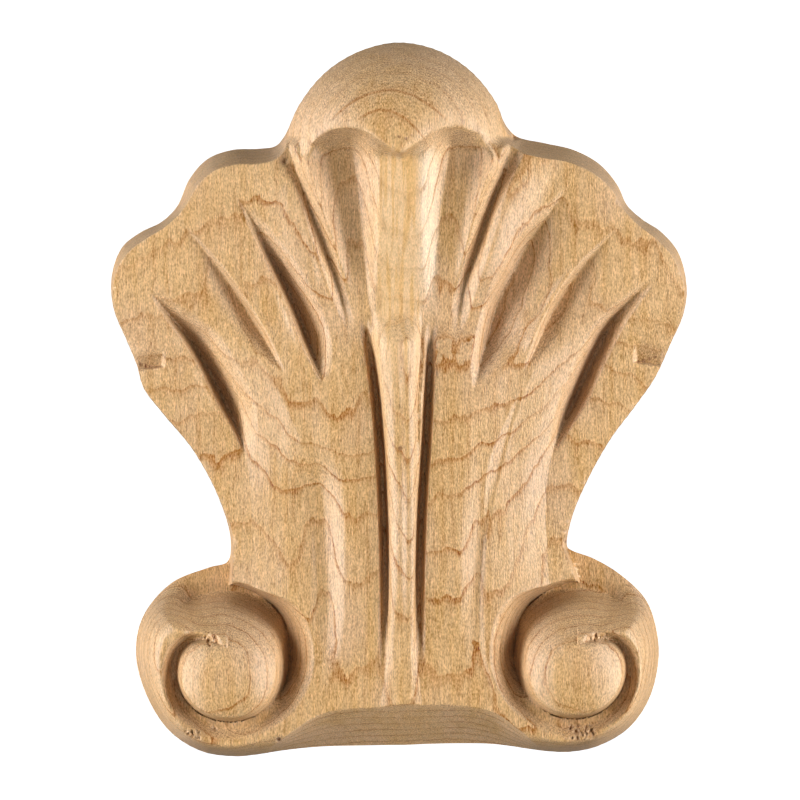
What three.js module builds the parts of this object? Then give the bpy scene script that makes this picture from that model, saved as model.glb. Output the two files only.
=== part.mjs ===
// Carved maple shell applique, one piece of wood carved in relief over a flat back.
// Millimetres. X runs across, Z runs up, and the carved face looks towards -Y.
// The origin is the middle of the flat back, which lies in the plane y = 0.
import * as THREE from 'three';
import { mergeVertices } from 'three/addons/utils/BufferGeometryUtils.js';

// Heights above the back
const EDGE_HEIGHT = 3.2;
const RIM_HEIGHT = 14.4;
const BUTTON_HEIGHT = 17.8;
const DOME_HEIGHT = 22;
const LOBE_EDGE_HEIGHT = 10.5;

// Middle of the dome and its half sizes
const DOME = { x: -0.5, z: 44.4, across: 20.9, up: 19.5, down: 30.2 };

// The seam of the two halves runs from the crown to the foot; this much of it is blended
const SEAM_BLEND = 1.5;

// Mesh of the face: stations along each half of the outline and from the spine out to it, then thinned to
// the wanted number of triangles. The rim is held by its weight, and no triangle may turn from the viewer.
const STATIONS_ALONG = 260;
const STATIONS_OUT = 64;
const FACE_TRIANGLES = 8600;
const RIM_WEIGHT = 3;
const SHORT_FIRST = 1e-5;
const LEAST_PLAN_AREA = 1e-3;

// Outline of each half, from crown to foot: x, z, width of the sloping edge band seen from the front
const OUTLINE = {
  left: [
    [0, 63.6, 0.2], [-7.1, 62, 0.2], [-13.2, 58.2, 0.2], [-17.8, 52.5, 0.2], [-20.4, 47, 0.4],
    [-22, 45.2, 1.8], [-25.1, 44.7, 2.2], [-29.7, 44.5, 2.3], [-34.1, 42.9, 2.2], [-37.3, 39.4, 1.8],
    [-39.6, 34.4, 1.2], [-42.3, 31.7, 1.1], [-46.1, 29.8, 1.7], [-49.4, 27.1, 1.7], [-51.2, 22.1, 0.7],
    [-50.9, 16.3, 0.4], [-48.5, 10.4, 0.3], [-46.8, 6.3, 0.3], [-45.5, 2, 0.3], [-42.1, -2.5, 0.3],
    [-36.6, -9.2, 0.3], [-32, -17.9, 0.3], [-30, -25.2, 0.7], [-30.6, -28.9, 0.5], [-34, -30, 0.3],
    [-40.7, -32.8, 0.2], [-45.7, -38.8, 0.2], [-46.9, -45.4, 0.2], [-45, -52.7, 0.2],
    [-40.9, -59.1, 0.2], [-35.2, -62.7, 0.2], [-29.2, -63.6, 0.2], [-25.5, -63.3, 0.5],
    [-21, -62.6, 1.4], [-16.7, -62.1, 3], [-12.3, -61.8, 4.5], [-6.6, -61.7, 4.7], [0, -61.6, 4.7],
  ],
  right: [
    [0, 63.6, 0.2], [6.9, 62.2, 0.2], [12.8, 58.5, 0.2], [17.2, 53.1, 0.2], [19, 49, 0.4],
    [21, 46.9, 1.8], [26, 45.7, 2.1], [31.1, 44.5, 2.1], [35.7, 42, 1.9], [38.9, 38.3, 1.3],
    [40.7, 34.6, 1], [43.4, 32.1, 1.3], [46.6, 30, 1.7], [49.8, 26.2, 1.5], [51.3, 20, 0.7],
    [50.7, 15.2, 0.4], [48.4, 9.9, 0.3], [45.7, 4, 0.3], [42.1, -1.2, 0.3], [37.9, -6.8, 0.3],
    [33.8, -14, 0.3], [30.8, -21.2, 0.4], [30, -26.2, 0.7], [30.8, -26.9, 0.5], [34.8, -28.4, 0.3],
    [39.6, -31.3, 0.2], [43.9, -35.5, 0.2], [45.7, -40.1, 0.2], [46.3, -46, 0.2], [44.6, -53.3, 0.2],
    [40.9, -58.6, 0.2], [35.4, -61.8, 0.2], [30.5, -62.8, 0.2], [26.5, -62.7, 0.6], [23.3, -62.3, 1.4],
    [20, -61.8, 2.6], [16.5, -61.4, 4], [11.9, -61.3, 4.8], [5.5, -61.4, 4.9], [0, -61.6, 4.7],
  ],
};

// Flutes, outermost first. track is z, x down the middle of the cut; top, full and end say where the cut
// starts, where it has its whole depth, and where it runs out; outer and inner are the widths of its two
// walls; lip is the height of the raised line on the outer wall, or with a minus on the inner one.
const FLUTES = {
  left: [
    { track: [[21.2, -45.5], [15.7, -41.1], [11.5, -37.5], [6.7, -34.5], [0.8, -31.5], [-5.4, -28.6],
      [-11.5, -26.5]],
      top: 20.5, full: [10, 1], end: -10.5, depth: 4.4, outer: 1.5, inner: 5, lip: 0.3 },
    { track: [[29.8, -37.4], [24.4, -32.9], [17.7, -28.3], [11.8, -24.6], [6.7, -21.6]],
      top: 34, full: [17, 13], end: 4, depth: 2.1, outer: 5, inner: 1.1, lip: -0.4 },
    { track: [[35.8, -28.3], [28.4, -24.4], [21.1, -20.4], [14.7, -17.6], [8.4, -15.3], [3.1, -13.5]],
      top: 39, full: [16, 12], end: 2, depth: 4.3, outer: 1.5, inner: 4.3, lip: 0.35 },
    { track: [[43.3, -20.6], [38.3, -18], [32.8, -15.5], [26.2, -13.1], [17.7, -10.3], [12.5, -8.8]],
      top: 41, full: [28, 19], end: 10, depth: 0.75, outer: 1.5, inner: 2.5, lip: 0.3 },
  ],
  right: [
    { track: [[23.4, 47.1], [19.3, 42.8], [14.1, 38], [8.4, 34.8], [1, 31.5], [-5.1, 28.8], [-10, 26.7]],
      top: 23.4, full: [10, 1], end: -10.5, depth: 4.3, outer: 2.6, inner: 2.6, lip: 0 },
    { track: [[31.6, 40.4], [27.6, 36.1], [21.1, 30.8], [15.2, 27.2], [10, 24.7], [6, 22.8]],
      top: 32, full: [20, 12], end: 4.4, depth: 2.1, outer: 5.6, inner: 1.1, lip: -0.7 },
    { track: [[33, 26.8], [27.8, 23], [22.7, 20.4], [17.7, 17.9], [10.8, 15.9], [5.1, 14.2], [0, 13.2]],
      top: 40, full: [24, 11], end: 1, depth: 3.8, outer: 8, inner: 2.6, lip: 0 },
    { track: [[43, 21.2], [38.3, 18.8], [32.8, 16.4], [26.2, 14.1], [17.7, 11.3], [10.8, 10]],
      top: 42, full: [29, 18], end: 9.2, depth: 0.85, outer: 2.1, inner: 2, lip: 0.2 },
  ],
};
const FLUTE_FLAT = 0.12;
const LIP_WIDTH = 0.9;
const GENTLE_WALL = 4;

// Deep narrow grooves beside the middle rib
const RIB_GROOVE = { depth: 3.2, half: 0.9, full: -22, end: -50 };
const RIB_GROOVES = {
  left: {
    track: [
      [18.4, -7.1], [11.5, -5.7], [2.6, -4.3], [-7.2, -3.4], [-17.9, -2.8], [-37.4, -2.5], [-47, -2.8],
    ],
    top: 16,
    start: 2,
  },
  right: {
    track: [
      [20.2, 6.8], [11.5, 5.7], [2.6, 5.3], [-7.2, 4.8], [-17.9, 4.1], [-37.4, 3.6], [-47, 3.7],
    ],
    top: 16,
    start: 0,
  },
};

// Lines that run down the carving, as z, x: floor of each hollow, outer ridge of the hood, and inner edge
// of the strap
const HOLLOW_FLOOR = {
  left: [[46.1, -11.4], [40.4, -10.1], [33.7, -9], [26.6, -8.2], [20.4, -7.4], [15.9, -6.9]],
  right: [[46.5, 11.9], [40.4, 10.9], [33.7, 9.8], [26.6, 8.9], [20.4, 8], [17.7, 7.2]],
};
const HOOD_RIDGE = {
  left: [[44.4, -17.1], [39.9, -15.8], [34, -13.9], [27.8, -11.7], [21.2, -9.8], [14.5, -8], [8.8, -6.6]],
  right: [[44.4, 17.4], [39.9, 16], [34, 14], [27.8, 12.3], [21.2, 10.7], [14.5, 9.2], [8.8, 8.4]],
};
const STRAP_EDGE = {
  left: [
    [9.7, -24.4], [2.6, -21.3], [-4.5, -19], [-12.5, -17.1], [-21.4, -15.6], [-30.3, -14.9],
    [-39.2, -14.8], [-46.3, -15.3], [-52.5, -17.6], [-55.6, -20.1], [-59.6, -25.6],
  ],
  right: [
    [9.7, 26], [2.6, 22.2], [-4.5, 19.9], [-12.5, 17.8], [-21.4, 15.8], [-30.3, 14.8], [-39.2, 14.6],
    [-46.3, 15.1], [-52.5, 17.4], [-56.3, 20.1], [-60.4, 25.6],
  ],
};
const SHOULDER_TAIL = { left: [[-17.9, -25.8], [-28.5, -26.1]], right: [[-17.9, 25.6], [-28.5, 26]] };
const RIB_MIDDLE = [[44.4, 0.4], [10.6, -0.3], [-9, 0.4], [-53.4, 0.4]];

// Lower edge of the dome, as x, z: two arches that meet in a point over the rib
const BROW = [
  [-22.9, 37.2], [-19.7, 40.4], [-17.6, 42], [-16.2, 44], [-14.4, 46.1], [-12.1, 47.5], [-9.6, 47.9],
  [-7.1, 47.7], [-4.6, 46.5], [-2.3, 44.9], [0, 43.5], [2.3, 44.7], [4.4, 46.1], [6.8, 47.4], [9.4, 48],
  [12.1, 47.7], [14.6, 46.7], [16.5, 44.9], [18, 42.4], [20.1, 40.4], [23.3, 37.2],
];

// How far the brow's edge rolls over, as x, depth
const BROW_ROLL = [[-16, 0.3], [-9, 0.45], [-1, 0.3], [2.5, 0.9], [8, 1.1], [12, 0.7], [16, 0.4]];

// Rise of the straps from their outer line inwards, as z, height
const SHOULDER_RISE = {
  left: [[15, 0], [5, 2.8], [-3, 4], [-10, 3.8], [-17, 2.4], [-30, 1.8], [-43, 0]],
  right: [[16, 0], [10, 3], [5, 4.4], [-3, 5], [-10, 5], [-18, 4.6], [-30, 3.8], [-43, 0]],
};

// Heights down the carving, as z, height: body at the middle and 44 mm out, rib, hollow floor, hood ridge
const BODY_MIDDLE = [
  [44.4, 13.6], [35.5, 13.3], [17.7, 12.5], [0, 12], [-9, 12.2], [-28.5, 13], [-44.5, 13.8],
  [-55.2, 14.2],
];
const BODY_EDGE = [
  [44.4, 11.6], [26.6, 11], [8.8, 10], [-9, 9.4], [-28.5, 10.2], [-44.5, 12.4], [-55.2, 13.2],
];
const RIB_CREST = [
  [46.1, 19], [41.7, 18.2], [35.5, 17.4], [26.6, 16.3], [17.7, 15.3], [8.8, 14.6], [-9, 13.8],
  [-28.5, 14], [-44.5, 14.6], [-55.2, 15],
];
const RIB_HALF = [
  [42.6, 7.1], [35.5, 5.9], [26.6, 5], [12.4, 4.1], [0, 3.2], [-9, 2.8], [-28.5, 2.4], [-44.5, 2.7],
  [-53.4, 3.7],
];
const HOLLOW_HEIGHT = {
  left: [[47.6, 14], [42.6, 13.6], [37.3, 13.4], [30, 12.9], [24, 12.6], [17.7, 12.5], [12.4, 12.4]],
  right: [[47.6, 14.1], [42.6, 14.1], [37.3, 14.2], [30, 13.8], [24, 13.2], [17.7, 12.8], [12.4, 12.4]],
};
const HOOD_HEIGHT = [
  [46.1, 17.4], [41.7, 16.8], [34, 15.6], [27.8, 14.6], [21.2, 13.5], [14.5, 12.6], [8.8, 12.1],
];
const HOOD_WALL = [[44.4, 2.7], [28.4, 2.5], [12.4, 1.6]];
const TROUGH_DEPTH = {
  left: [[6, 0], [-3, 0.3], [-9, 0.7], [-16, 1.8], [-28.5, 1.9], [-40, 1.5], [-50, 0.3], [-56, 0]],
  right: [[10, 0], [3, 1], [-6, 1.2], [-18, 1.4], [-28.5, 1.4], [-38, 0.8], [-50, 0.3], [-56, 0]],
};
const TROUGH_WIDTH = {
  left: [[9.7, 8], [-0.1, 8.2], [-12.5, 7.3], [-28.5, 6], [-42.8, 5.4], [-53.4, 4]],
  right: [[9.7, 8], [-0.1, 8.2], [-9, 8], [-16, 6.5], [-28.5, 4.6], [-42.8, 4.2], [-53.4, 3]],
};
const BODY_REACH = 44.5;

// Volutes. The spiral is told by the angle turned from the cusp under the waist, outwards and down first.
const VOLUTE = {
  left: { x: -30.6, z: -48.1, waist: [-29.7, -0.05], cusp: 87.3 },
  right: { x: 31.5, z: -47.6, waist: [30.3, 0.39], cusp: 91 },
};
const BUTTON_RADIUS = [
  [0, 15.3], [23, 14.3], [47, 13.2], [70, 11.7], [99, 10.6], [133, 9.7], [175, 9.1], [265, 8.9],
  [290, 8.7], [305, 8.1], [323, 6.7], [343, 5.2], [360, 4.3],
];
const GROOVE_WIDTH = [
  [0, 0.8], [22, 1.3], [45, 3.8], [85, 4.6], [110, 4.2], [140, 3.7], [175, 3.5], [210, 3.1], [265, 2.6],
  [310, 2.3], [335, 1.9], [360, 1.2],
];
const GROOVE_FLOOR = [
  [0, 3.4], [20, 3.3], [45, 3.9], [85, 5.9], [102, 8.8], [122, 11.8], [175, 12.3], [265, 12.6],
  [300, 13.2], [330, 14.6], [345, 15.7], [360, 16.6],
];
const GROOVE_REACH = [
  [0, 0], [6, 0.35], [20, 1], [60, 1], [322, 1], [336, 0.75], [350, 0.2], [357, 0], [360, 0],
];
const INNER_WALL = [[0, 5], [30, 4], [50, 3], [90, 2.4], [120, 1.6], [175, 1.1], [300, 1], [360, 1.2]];
const ROLL_WIDTH = [
  [0, 18.4], [60, 10.7], [120, 4.6], [147, 3.2], [175, 2.4], [215, 2.8], [240, 3.3], [265, 4.3],
  [300, 6.2], [320, 9], [340, 13.5], [360, 18.4],
];
const SCROLL_CREST = [
  [0, 17.8], [60, 17], [120, 14], [175, 13.4], [230, 13.8], [280, 14.8], [310, 15.8], [335, 17],
  [360, 17.8],
];
const BUTTON_DROP = 10.8;
const BUTTON_REACH = 13.6;
const BUTTON_SINK = 1.4;
const BUTTON_LEAN = 0.1;
const SHELF_HEIGHT = 3.6;
const SHELF_WIDTH = 6.5;
const SPUR_DIP = 0.6;
const SPUR_RADIUS = 13.8;

// Curves and blends

function curve(knots) {
  const k = [...knots].sort((a, b) => a[0] - b[0]);
  const last = k.length - 1;
  const rise = (i) => (k[i + 1][1] - k[i][1]) / (k[i + 1][0] - k[i][0]);
  const slope = k.map((knot, i) => {
    if (i === 0) return rise(0);
    if (i === last) return rise(last - 1);
    const before = knot[0] - k[i - 1][0];
    const after = k[i + 1][0] - knot[0];
    return (rise(i - 1) * after + rise(i) * before) / (before + after);
  });
  return (q) => {
    if (q <= k[0][0]) return k[0][1] + (q - k[0][0]) * slope[0];
    if (q >= k[last][0]) return k[last][1] + (q - k[last][0]) * slope[last];
    let i = 0;
    while (q > k[i + 1][0]) i += 1;
    const h = k[i + 1][0] - k[i][0];
    const w = (q - k[i][0]) / h;
    const v = 1 - w;
    return (1 + 2 * w) * v * v * k[i][1] + w * w * (3 - 2 * w) * k[i + 1][1]
      + h * (w * v * v * slope[i] - w * w * v * slope[i + 1]);
  };
}

function levelCurve(knots) {
  const inner = curve(knots);
  const ends = knots.map((knot) => knot[0]);
  const low = Math.min(...ends);
  const high = Math.max(...ends);
  return (q) => inner(Math.min(Math.max(q, low), high));
}

const clamp = THREE.MathUtils.clamp;
const mix = THREE.MathUtils.lerp;

function ease(from, to, q) {
  const w = clamp((q - from) / (to - from), 0, 1);
  return w * w * (3 - 2 * w);
}

function softMax(a, b, blend) {
  const w = clamp(0.5 + (0.5 * (a - b)) / blend, 0, 1);
  return b + (a - b) * w + blend * w * (1 - w);
}

const softMin = (a, b, blend) => -softMax(-a, -b, blend);
const bell = (q, width) => Math.exp(-((q / width) ** 2));

// Outline

function outlinePoints(stations, perSpan = 24) {
  const mirrored = (a, b) => [2 * a[0] - b[0], b[1]];
  const p = [mirrored(stations[0], stations[1]), ...stations, mirrored(stations.at(-1), stations.at(-2))];
  const points = [];
  for (let i = 1; i < p.length - 2; i += 1) {
    const gap = [0, 1, 2].map((j) => {
      const [from, to] = [p[i + j - 1], p[i + j]];
      return Math.sqrt(Math.hypot(to[0] - from[0], to[1] - from[1]));
    });
    for (let n = 0; n < perSpan; n += 1) {
      const w = n / perSpan;
      const v = 1 - w;
      const place = [0, 1].map((c) => {
        const [a, b, d, e] = [p[i - 1][c], p[i][c], p[i + 1][c], p[i + 2][c]];
        const start = gap[1] * ((b - a) / gap[0] - (d - a) / (gap[0] + gap[1]) + (d - b) / gap[1]);
        const finish = gap[1] * ((d - b) / gap[1] - (e - b) / (gap[1] + gap[2]) + (e - d) / gap[2]);
        return (1 + 2 * w) * v * v * b + w * w * (3 - 2 * w) * d + w * v * v * start - w * w * v * finish;
      });
      points.push([place[0], place[1], mix(p[i][2], p[i + 1][2], w)]);
    }
  }
  points.push([...stations.at(-1)]);
  return points;
}

function evenly(points, count) {
  const run = [0];
  for (let i = 1; i < points.length; i += 1) {
    run.push(run[i - 1] + Math.hypot(points[i][0] - points[i - 1][0], points[i][1] - points[i - 1][1]));
  }
  const even = [];
  let i = 0;
  for (let n = 0; n <= count; n += 1) {
    const at = (run.at(-1) * n) / count;
    while (i < run.length - 2 && run[i + 1] < at) i += 1;
    const w = (at - run[i]) / (run[i + 1] - run[i]);
    even.push([0, 1, 2].map((c) => mix(points[i][c], points[i + 1][c], w)));
  }
  return even;
}

// Places round the whole outline, with the band's width free of kinks. The nearest is looked for in long
// steps, then one by one.
const EDGE_SAMPLES = 1400;
const BAND_SPREAD = 22;
const LONG_STEP = 10;

function edgeOf(stations) {
  const samples = evenly(outlinePoints(stations), EDGE_SAMPLES);
  const last = samples.length - 1;
  const window = Array.from({ length: 2 * BAND_SPREAD - 1 }, (_, n) => {
    return 0.5 - 0.5 * Math.cos((Math.PI * (n + 1)) / BAND_SPREAD);
  });
  const whole = window.reduce((sum, share) => sum + share, 0);
  return samples.map(([x, z], i) => {
    const band = window.reduce((sum, share, n) => {
      return sum + share * samples[clamp(i + n - BAND_SPREAD + 1, 0, last)][2];
    }, 0);
    return [x, z, band / whole];
  });
}

const edgeSamples = Object.values(OUTLINE).flatMap(edgeOf);

function nearestEdge(x, z) {
  const away = (i) => (edgeSamples[i][0] - x) ** 2 + (edgeSamples[i][1] - z) ** 2;
  let best = 0;
  for (let i = 0; i < edgeSamples.length; i += LONG_STEP) {
    if (away(i) < away(best)) best = i;
  }
  const first = Math.max(best - LONG_STEP, 0);
  const last = Math.min(best + LONG_STEP, edgeSamples.length - 1);
  for (let i = first; i <= last; i += 1) {
    if (away(i) < away(best)) best = i;
  }
  return { distance: Math.sqrt(away(best)), band: edgeSamples[best][2] };
}

// Relief

const bodyMiddle = levelCurve(BODY_MIDDLE);
const bodyEdge = levelCurve(BODY_EDGE);
const ribCrest = levelCurve(RIB_CREST);
const ribHalf = levelCurve(RIB_HALF);
const ribMiddle = levelCurve(RIB_MIDDLE);
const hoodHeight = levelCurve(HOOD_HEIGHT);
const hoodWall = levelCurve(HOOD_WALL);
const browLine = curve(BROW);
const browRoll = levelCurve(BROW_ROLL);
const buttonRadius = levelCurve(BUTTON_RADIUS);
const grooveWidth = levelCurve(GROOVE_WIDTH);
const grooveFloor = levelCurve(GROOVE_FLOOR);
const grooveReach = levelCurve(GROOVE_REACH);
const innerWall = levelCurve(INNER_WALL);
const rollWidth = levelCurve(ROLL_WIDTH);
const scrollCrest = levelCurve(SCROLL_CREST);

// Small differences between the hand-carved halves
const CHARACTER = {
  left: { crown: 1.2, strapFall: 0.95, troughFlat: 0.3, strapBead: 0.1, ridgeRound: 0.9 },
  right: { crown: 2.4, strapFall: 0.8, troughFlat: 0.12, strapBead: 0.35, ridgeRound: 0.5 },
};

const halves = {};
for (const [name, sign] of [['left', -1], ['right', 1]]) {
  halves[name] = {
    sign,
    ...CHARACTER[name],
    flutes: FLUTES[name].map((flute) => ({ ...flute, line: curve(flute.track) })),
    groove: { ...RIB_GROOVES[name], line: curve(RIB_GROOVES[name].track) },
    hollowFloor: curve(HOLLOW_FLOOR[name]),
    hollowHeight: levelCurve(HOLLOW_HEIGHT[name]),
    hoodRidge: curve(HOOD_RIDGE[name]),
    strapEdge: curve(STRAP_EDGE[name]),
    shoulder: curve([...FLUTES[name][0].track, ...SHOULDER_TAIL[name]]),
    shoulderRise: levelCurve(SHOULDER_RISE[name]),
    troughDepth: levelCurve(TROUGH_DEPTH[name]),
    troughWidth: levelCurve(TROUGH_WIDTH[name]),
    volute: VOLUTE[name],
  };
}

function fluteCut(x, z, half, flute) {
  const reach = ease(flute.top, flute.full[0], z) * (1 - ease(flute.full[1], flute.end, z));
  if (reach === 0) return 0;
  const lean = (flute.line(z + 0.2) - flute.line(z - 0.2)) / 0.4;
  const narrow = 0.4 + 0.6 * reach;
  const inward = (-half.sign * (x - flute.line(z))) / Math.hypot(1, lean) / narrow;
  const inner = clamp((inward - FLUTE_FLAT) / flute.inner, 0, 1);
  const outer = clamp((-inward - FLUTE_FLAT) / flute.outer, 0, 1);
  const outerWall = flute.outer > GENTLE_WALL ? (1 - outer) ** 2 * (1 + 0.5 * outer) : 1 - ease(0, 1, outer);
  const cut = inward > 0 ? (1 - inner) ** 2 * (1 + 0.6 * inner) : outerWall;
  const deeper = mix(0.74, 1.1, ease(flute.top, mix(flute.top, flute.end, 0.62), z));
  const lipAt = flute.lip > 0 ? -inward - FLUTE_FLAT - flute.outer : inward - FLUTE_FLAT - flute.inner;
  return reach * deeper * (flute.depth * cut - reach * Math.abs(flute.lip) * bell(lipAt, LIP_WIDTH));
}

function bodyHeight(x, z, half) {
  const { sign } = half;
  const middle = bodyMiddle(z);
  let height = middle + (bodyEdge(z) - middle) * (Math.abs(x) / BODY_REACH) ** 1.6;
  height += half.shoulderRise(z) * (clamp((0.5 - sign * (x - half.shoulder(z))) / 11, 0, 1) - 0.4);
  const besideFlute = sign * (x - half.flutes[3].line(z));
  const crown = ease(-1, 1, besideFlute) * (1 - ease(1.5, 9.5, besideFlute));
  height += half.crown * crown * ease(12, 24, z) * mix(1, 0.5, ease(36, 43, z));
  const inside = -sign * (x - half.strapEdge(z));
  const wall = mix(ease(-0.4, 0.3, inside), ease(-6.5, 1.5, inside), half.strapFall);
  return height - half.troughDepth(z) * wall * (1 - ease(half.troughFlat, 1, inside / half.troughWidth(z)));
}

function hoodAndRib(x, z, half, body) {
  const middle = ribMiddle(z);
  const across = Math.abs(x - middle) / ribHalf(z);
  const bow = mix(0.5, 1.2, ease(-37, -49, z));
  const rib = (ribCrest(z) - bodyMiddle(z)) * Math.max(0, 1 - across ** 2.2) ** bow;
  const floorLine = half.hollowFloor(z);
  const ridgeLine = half.hoodRidge(z);
  const floor = half.hollowHeight(z);
  const ridge = hoodHeight(z);
  const inward = -half.sign * (x - floorLine);
  const toRib = clamp(inward / Math.abs(middle - floorLine), 0, 1);
  const toRidge = Math.max(0, -inward / Math.abs(ridgeLine - floorLine));
  const crisp = ease(12, 34, z);
  const hollow = inward > 0
    ? floor + (ribCrest(z) - floor) * (0.86 * ease(0.2, 0.66, toRib) + 0.14 * ease(0.5, 1, toRib))
    : floor + (ridge + 0.3 * crisp - floor) * Math.min(toRidge, 1 + crisp) ** 2.4;
  const past = half.sign * (x - ridgeLine);
  const top = ridge + 0.6 * crisp;
  const hood = top - (top - body) * clamp((past + 0.5) / hoodWall(z), -0.3, 1);
  const upper = softMin(hollow, hood, half.ridgeRound);
  const beads = 0.17 * (bell(x - middle + 1.3, 0.8) + bell(x - middle - 1.6, 0.8));
  const crease = 0.07 * bell(x - middle, 0.4);
  const marked = ease(41.7, 35.5, z) * (1 - ease(-42.8, -53.4, z));
  return mix(upper, body + rib, ease(17.7, 9.7, z)) + (beads - crease) * marked;
}

function domeOver(x, z, height) {
  const up = (z - DOME.z) / (z > DOME.z ? DOME.up : DOME.down);
  const round = Math.sqrt(Math.max(0, 1 - ((x - DOME.x) / DOME.across) ** 2 - up ** 2));
  const above = z - browLine(x);
  const out = Math.abs(x);
  const cove = 1.2 + 4.8 * ease(0.7, 6, out) * (1 - 0.6 * ease(12.4, 17.4, out));
  const roll = browRoll(x);
  const rolledOver = roll * Math.exp(-Math.max(0, above) / (1.4 * roll));
  const dome = EDGE_HEIGHT + (DOME_HEIGHT - EDGE_HEIGHT) * round - rolledOver;
  let covered = mix(height, dome, (1 - clamp(-above / cove, 0, 1)) ** 2.6);
  const offDome = Math.abs(x - DOME.x);
  const belowTop = ease(46.8, 44.2, z);
  const beside = softMax(covered, softMin(height, 14.6, 0.8), 0.8);
  covered = mix(covered, beside, ease(14.5, 17.5, offDome) * belowTop);
  return mix(covered, height, ease(18.2, 21.3, offDome) * belowTop);
}

// Height of a round edge that rises from the outline to its crest
const rolled = (crest, into) => EDGE_HEIGHT + (crest - EDGE_HEIGHT) * (1 - (1 - clamp(into, 0, 1)) ** 2);

function withVolute(x, z, half, body, edgeDistance) {
  const { volute, sign } = half;
  const inward = -sign * (x - volute.x);
  const up = z - volute.z;
  const radius = Math.hypot(inward, up);
  const bearing = THREE.MathUtils.radToDeg(Math.atan2(up, inward));
  const turned = THREE.MathUtils.euclideanModulo(volute.cusp - bearing, 360);
  const leaning = Math.hypot(inward, up + BUTTON_SINK) + BUTTON_LEAN * Math.min(up, 0);
  const button = BUTTON_HEIGHT - BUTTON_DROP * clamp(leaning / BUTTON_REACH, 0, 1.3) ** 2.6;
  const domed = softMax(button, rolled(SHELF_HEIGHT, edgeDistance / SHELF_WIDTH), 1.2);
  const top = ease(0.8, 0.97, 0.5 + 0.5 * Math.cos(THREE.MathUtils.degToRad(turned))) * ease(3, 9, radius);
  const roll = mix(rolled(scrollCrest(turned), edgeDistance / rollWidth(turned)), domed, top);
  const waistLine = volute.waist[0] - (z + 28.5) * volute.waist[1];
  const beside = ease(-0.4, 0.3, -sign * (x - waistLine)) * (turned > 300 ? ease(14.9, 15.5, radius) : 1);
  const isBody = up > 0 ? beside : 1 - ease(118, 165, turned);
  const past = radius - buttonRadius(turned);
  const floor = grooveFloor(turned);
  const reach = grooveReach(turned);
  const near = reach * (1 - clamp(-past / innerWall(turned), 0, 1)) ** 2;
  const ramp = clamp(past / grooveWidth(turned), 0, 1);
  const far = reach * mix((1 - ramp) ** 1.5, 1 - ease(0.25, 1, ramp), ease(100, 135, turned));
  const carved = past < 0
    ? mix(mix(button, domed, top), floor, near)
    : mix(mix(roll, body, isBody), floor, far);
  const fromCusp = THREE.MathUtils.euclideanModulo(turned + 180, 360) - 180;
  const dip = SPUR_DIP * bell(fromCusp, 28) * bell(radius - SPUR_RADIUS, 2.2);
  return mix(body, carved - dip, ease(-25.5, -27, z));
}

function halfHeight(x, z, half, edge) {
  let height = hoodAndRib(x, z, half, bodyHeight(x, z, half));
  for (const flute of half.flutes) height -= fluteCut(x, z, half, flute);
  const { groove } = half;
  const groovePart = ease(groove.top, groove.start, z) * (1 - ease(RIB_GROOVE.full, RIB_GROOVE.end, z));
  const fromGroove = Math.abs(x - groove.line(z)) / RIB_GROOVE.half;
  height -= groovePart * RIB_GROOVE.depth * (1 - ease(0.25, 1.25, fromGroove));
  height = domeOver(x, z, height);
  const strapInside = -half.sign * (x - half.strapEdge(Math.max(z, -60.4)));
  height += half.strapBead * ease(-28.5, -44.5, z) * bell(strapInside + 1.2, 1.6);
  height = mix(height, RIM_HEIGHT, ease(-51.7, -57, z) * ease(12.4, 17.8, Math.abs(x)));
  height = withVolute(x, z, half, height, edge.distance);
  const wallSlope = Math.max((LOBE_EDGE_HEIGHT - EDGE_HEIGHT) / edge.band, 1.24);
  return softMin(height, EDGE_HEIGHT + wallSlope * edge.distance, 0.4);
}

function relief(x, z) {
  const edge = nearestEdge(x, z);
  const share = clamp(0.5 + x / (2 * SEAM_BLEND), 0, 1);
  const left = share < 1 ? halfHeight(x, z, halves.left, edge) : 0;
  const right = share > 0 ? halfHeight(x, z, halves.right, edge) : 0;
  return mix(left, right, share);
}

// Solid

// Each station of the outline is joined to a point of the spine: share of the outline, z
const spine = levelCurve([
  [0, 35], [0.136, 32.5], [0.2, 30.5], [0.27, 24.5], [0.35, 14], [0.42, 5],
  [0.5, -9], [0.6, -34], [0.66, -39], [0.75, -44], [0.86, -49], [1, -51.5],
]);

function carvedGrid(stations) {
  // The last but one point of each ray stands at the inner side of the edge wall
  return evenly(outlinePoints(stations), STATIONS_ALONG).map(([x, z, band], i) => {
    const root = spine(i / STATIONS_ALONG);
    const inset = 1 - clamp(band, 0.3, 1) / Math.hypot(x, z - root);
    const ray = Array.from({ length: STATIONS_OUT }, (_, n) => (inset * n) / (STATIONS_OUT - 1));
    return [...ray, 1].map((share) => {
      const place = [mix(0, x, share), mix(root, z, share)];
      return [place[0], share === 1 ? -EDGE_HEIGHT : -relief(...place), place[1]];
    });
  });
}

const apart = (p, q) => Math.hypot(p[0] - q[0], p[1] - q[1], p[2] - q[2]);

function carvedFace() {
  const points = [];
  const triangles = [];
  const known = new Map();
  const indexOf = (place) => {
    const key = place.map((c) => Math.round(c * 1e4)).join();
    if (!known.has(key)) known.set(key, points.push(place) - 1);
    return known.get(key);
  };
  for (const name of ['left', 'right']) {
    const grid = carvedGrid(OUTLINE[name]);
    for (let i = 0; i < STATIONS_ALONG; i += 1) {
      for (let j = 0; j < STATIONS_OUT; j += 1) {
        const corners = [grid[i][j], grid[i][j + 1], grid[i + 1][j + 1], grid[i + 1][j]];
        const [a, b, c, d] = (name === 'right' ? corners.reverse() : corners).map(indexOf);
        if (apart(points[a], points[c]) < apart(points[b], points[d])) triangles.push([a, b, c], [a, c, d]);
        else triangles.push([a, b, d], [b, c, d]);
      }
    }
  }
  return { points, triangles };
}

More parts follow.
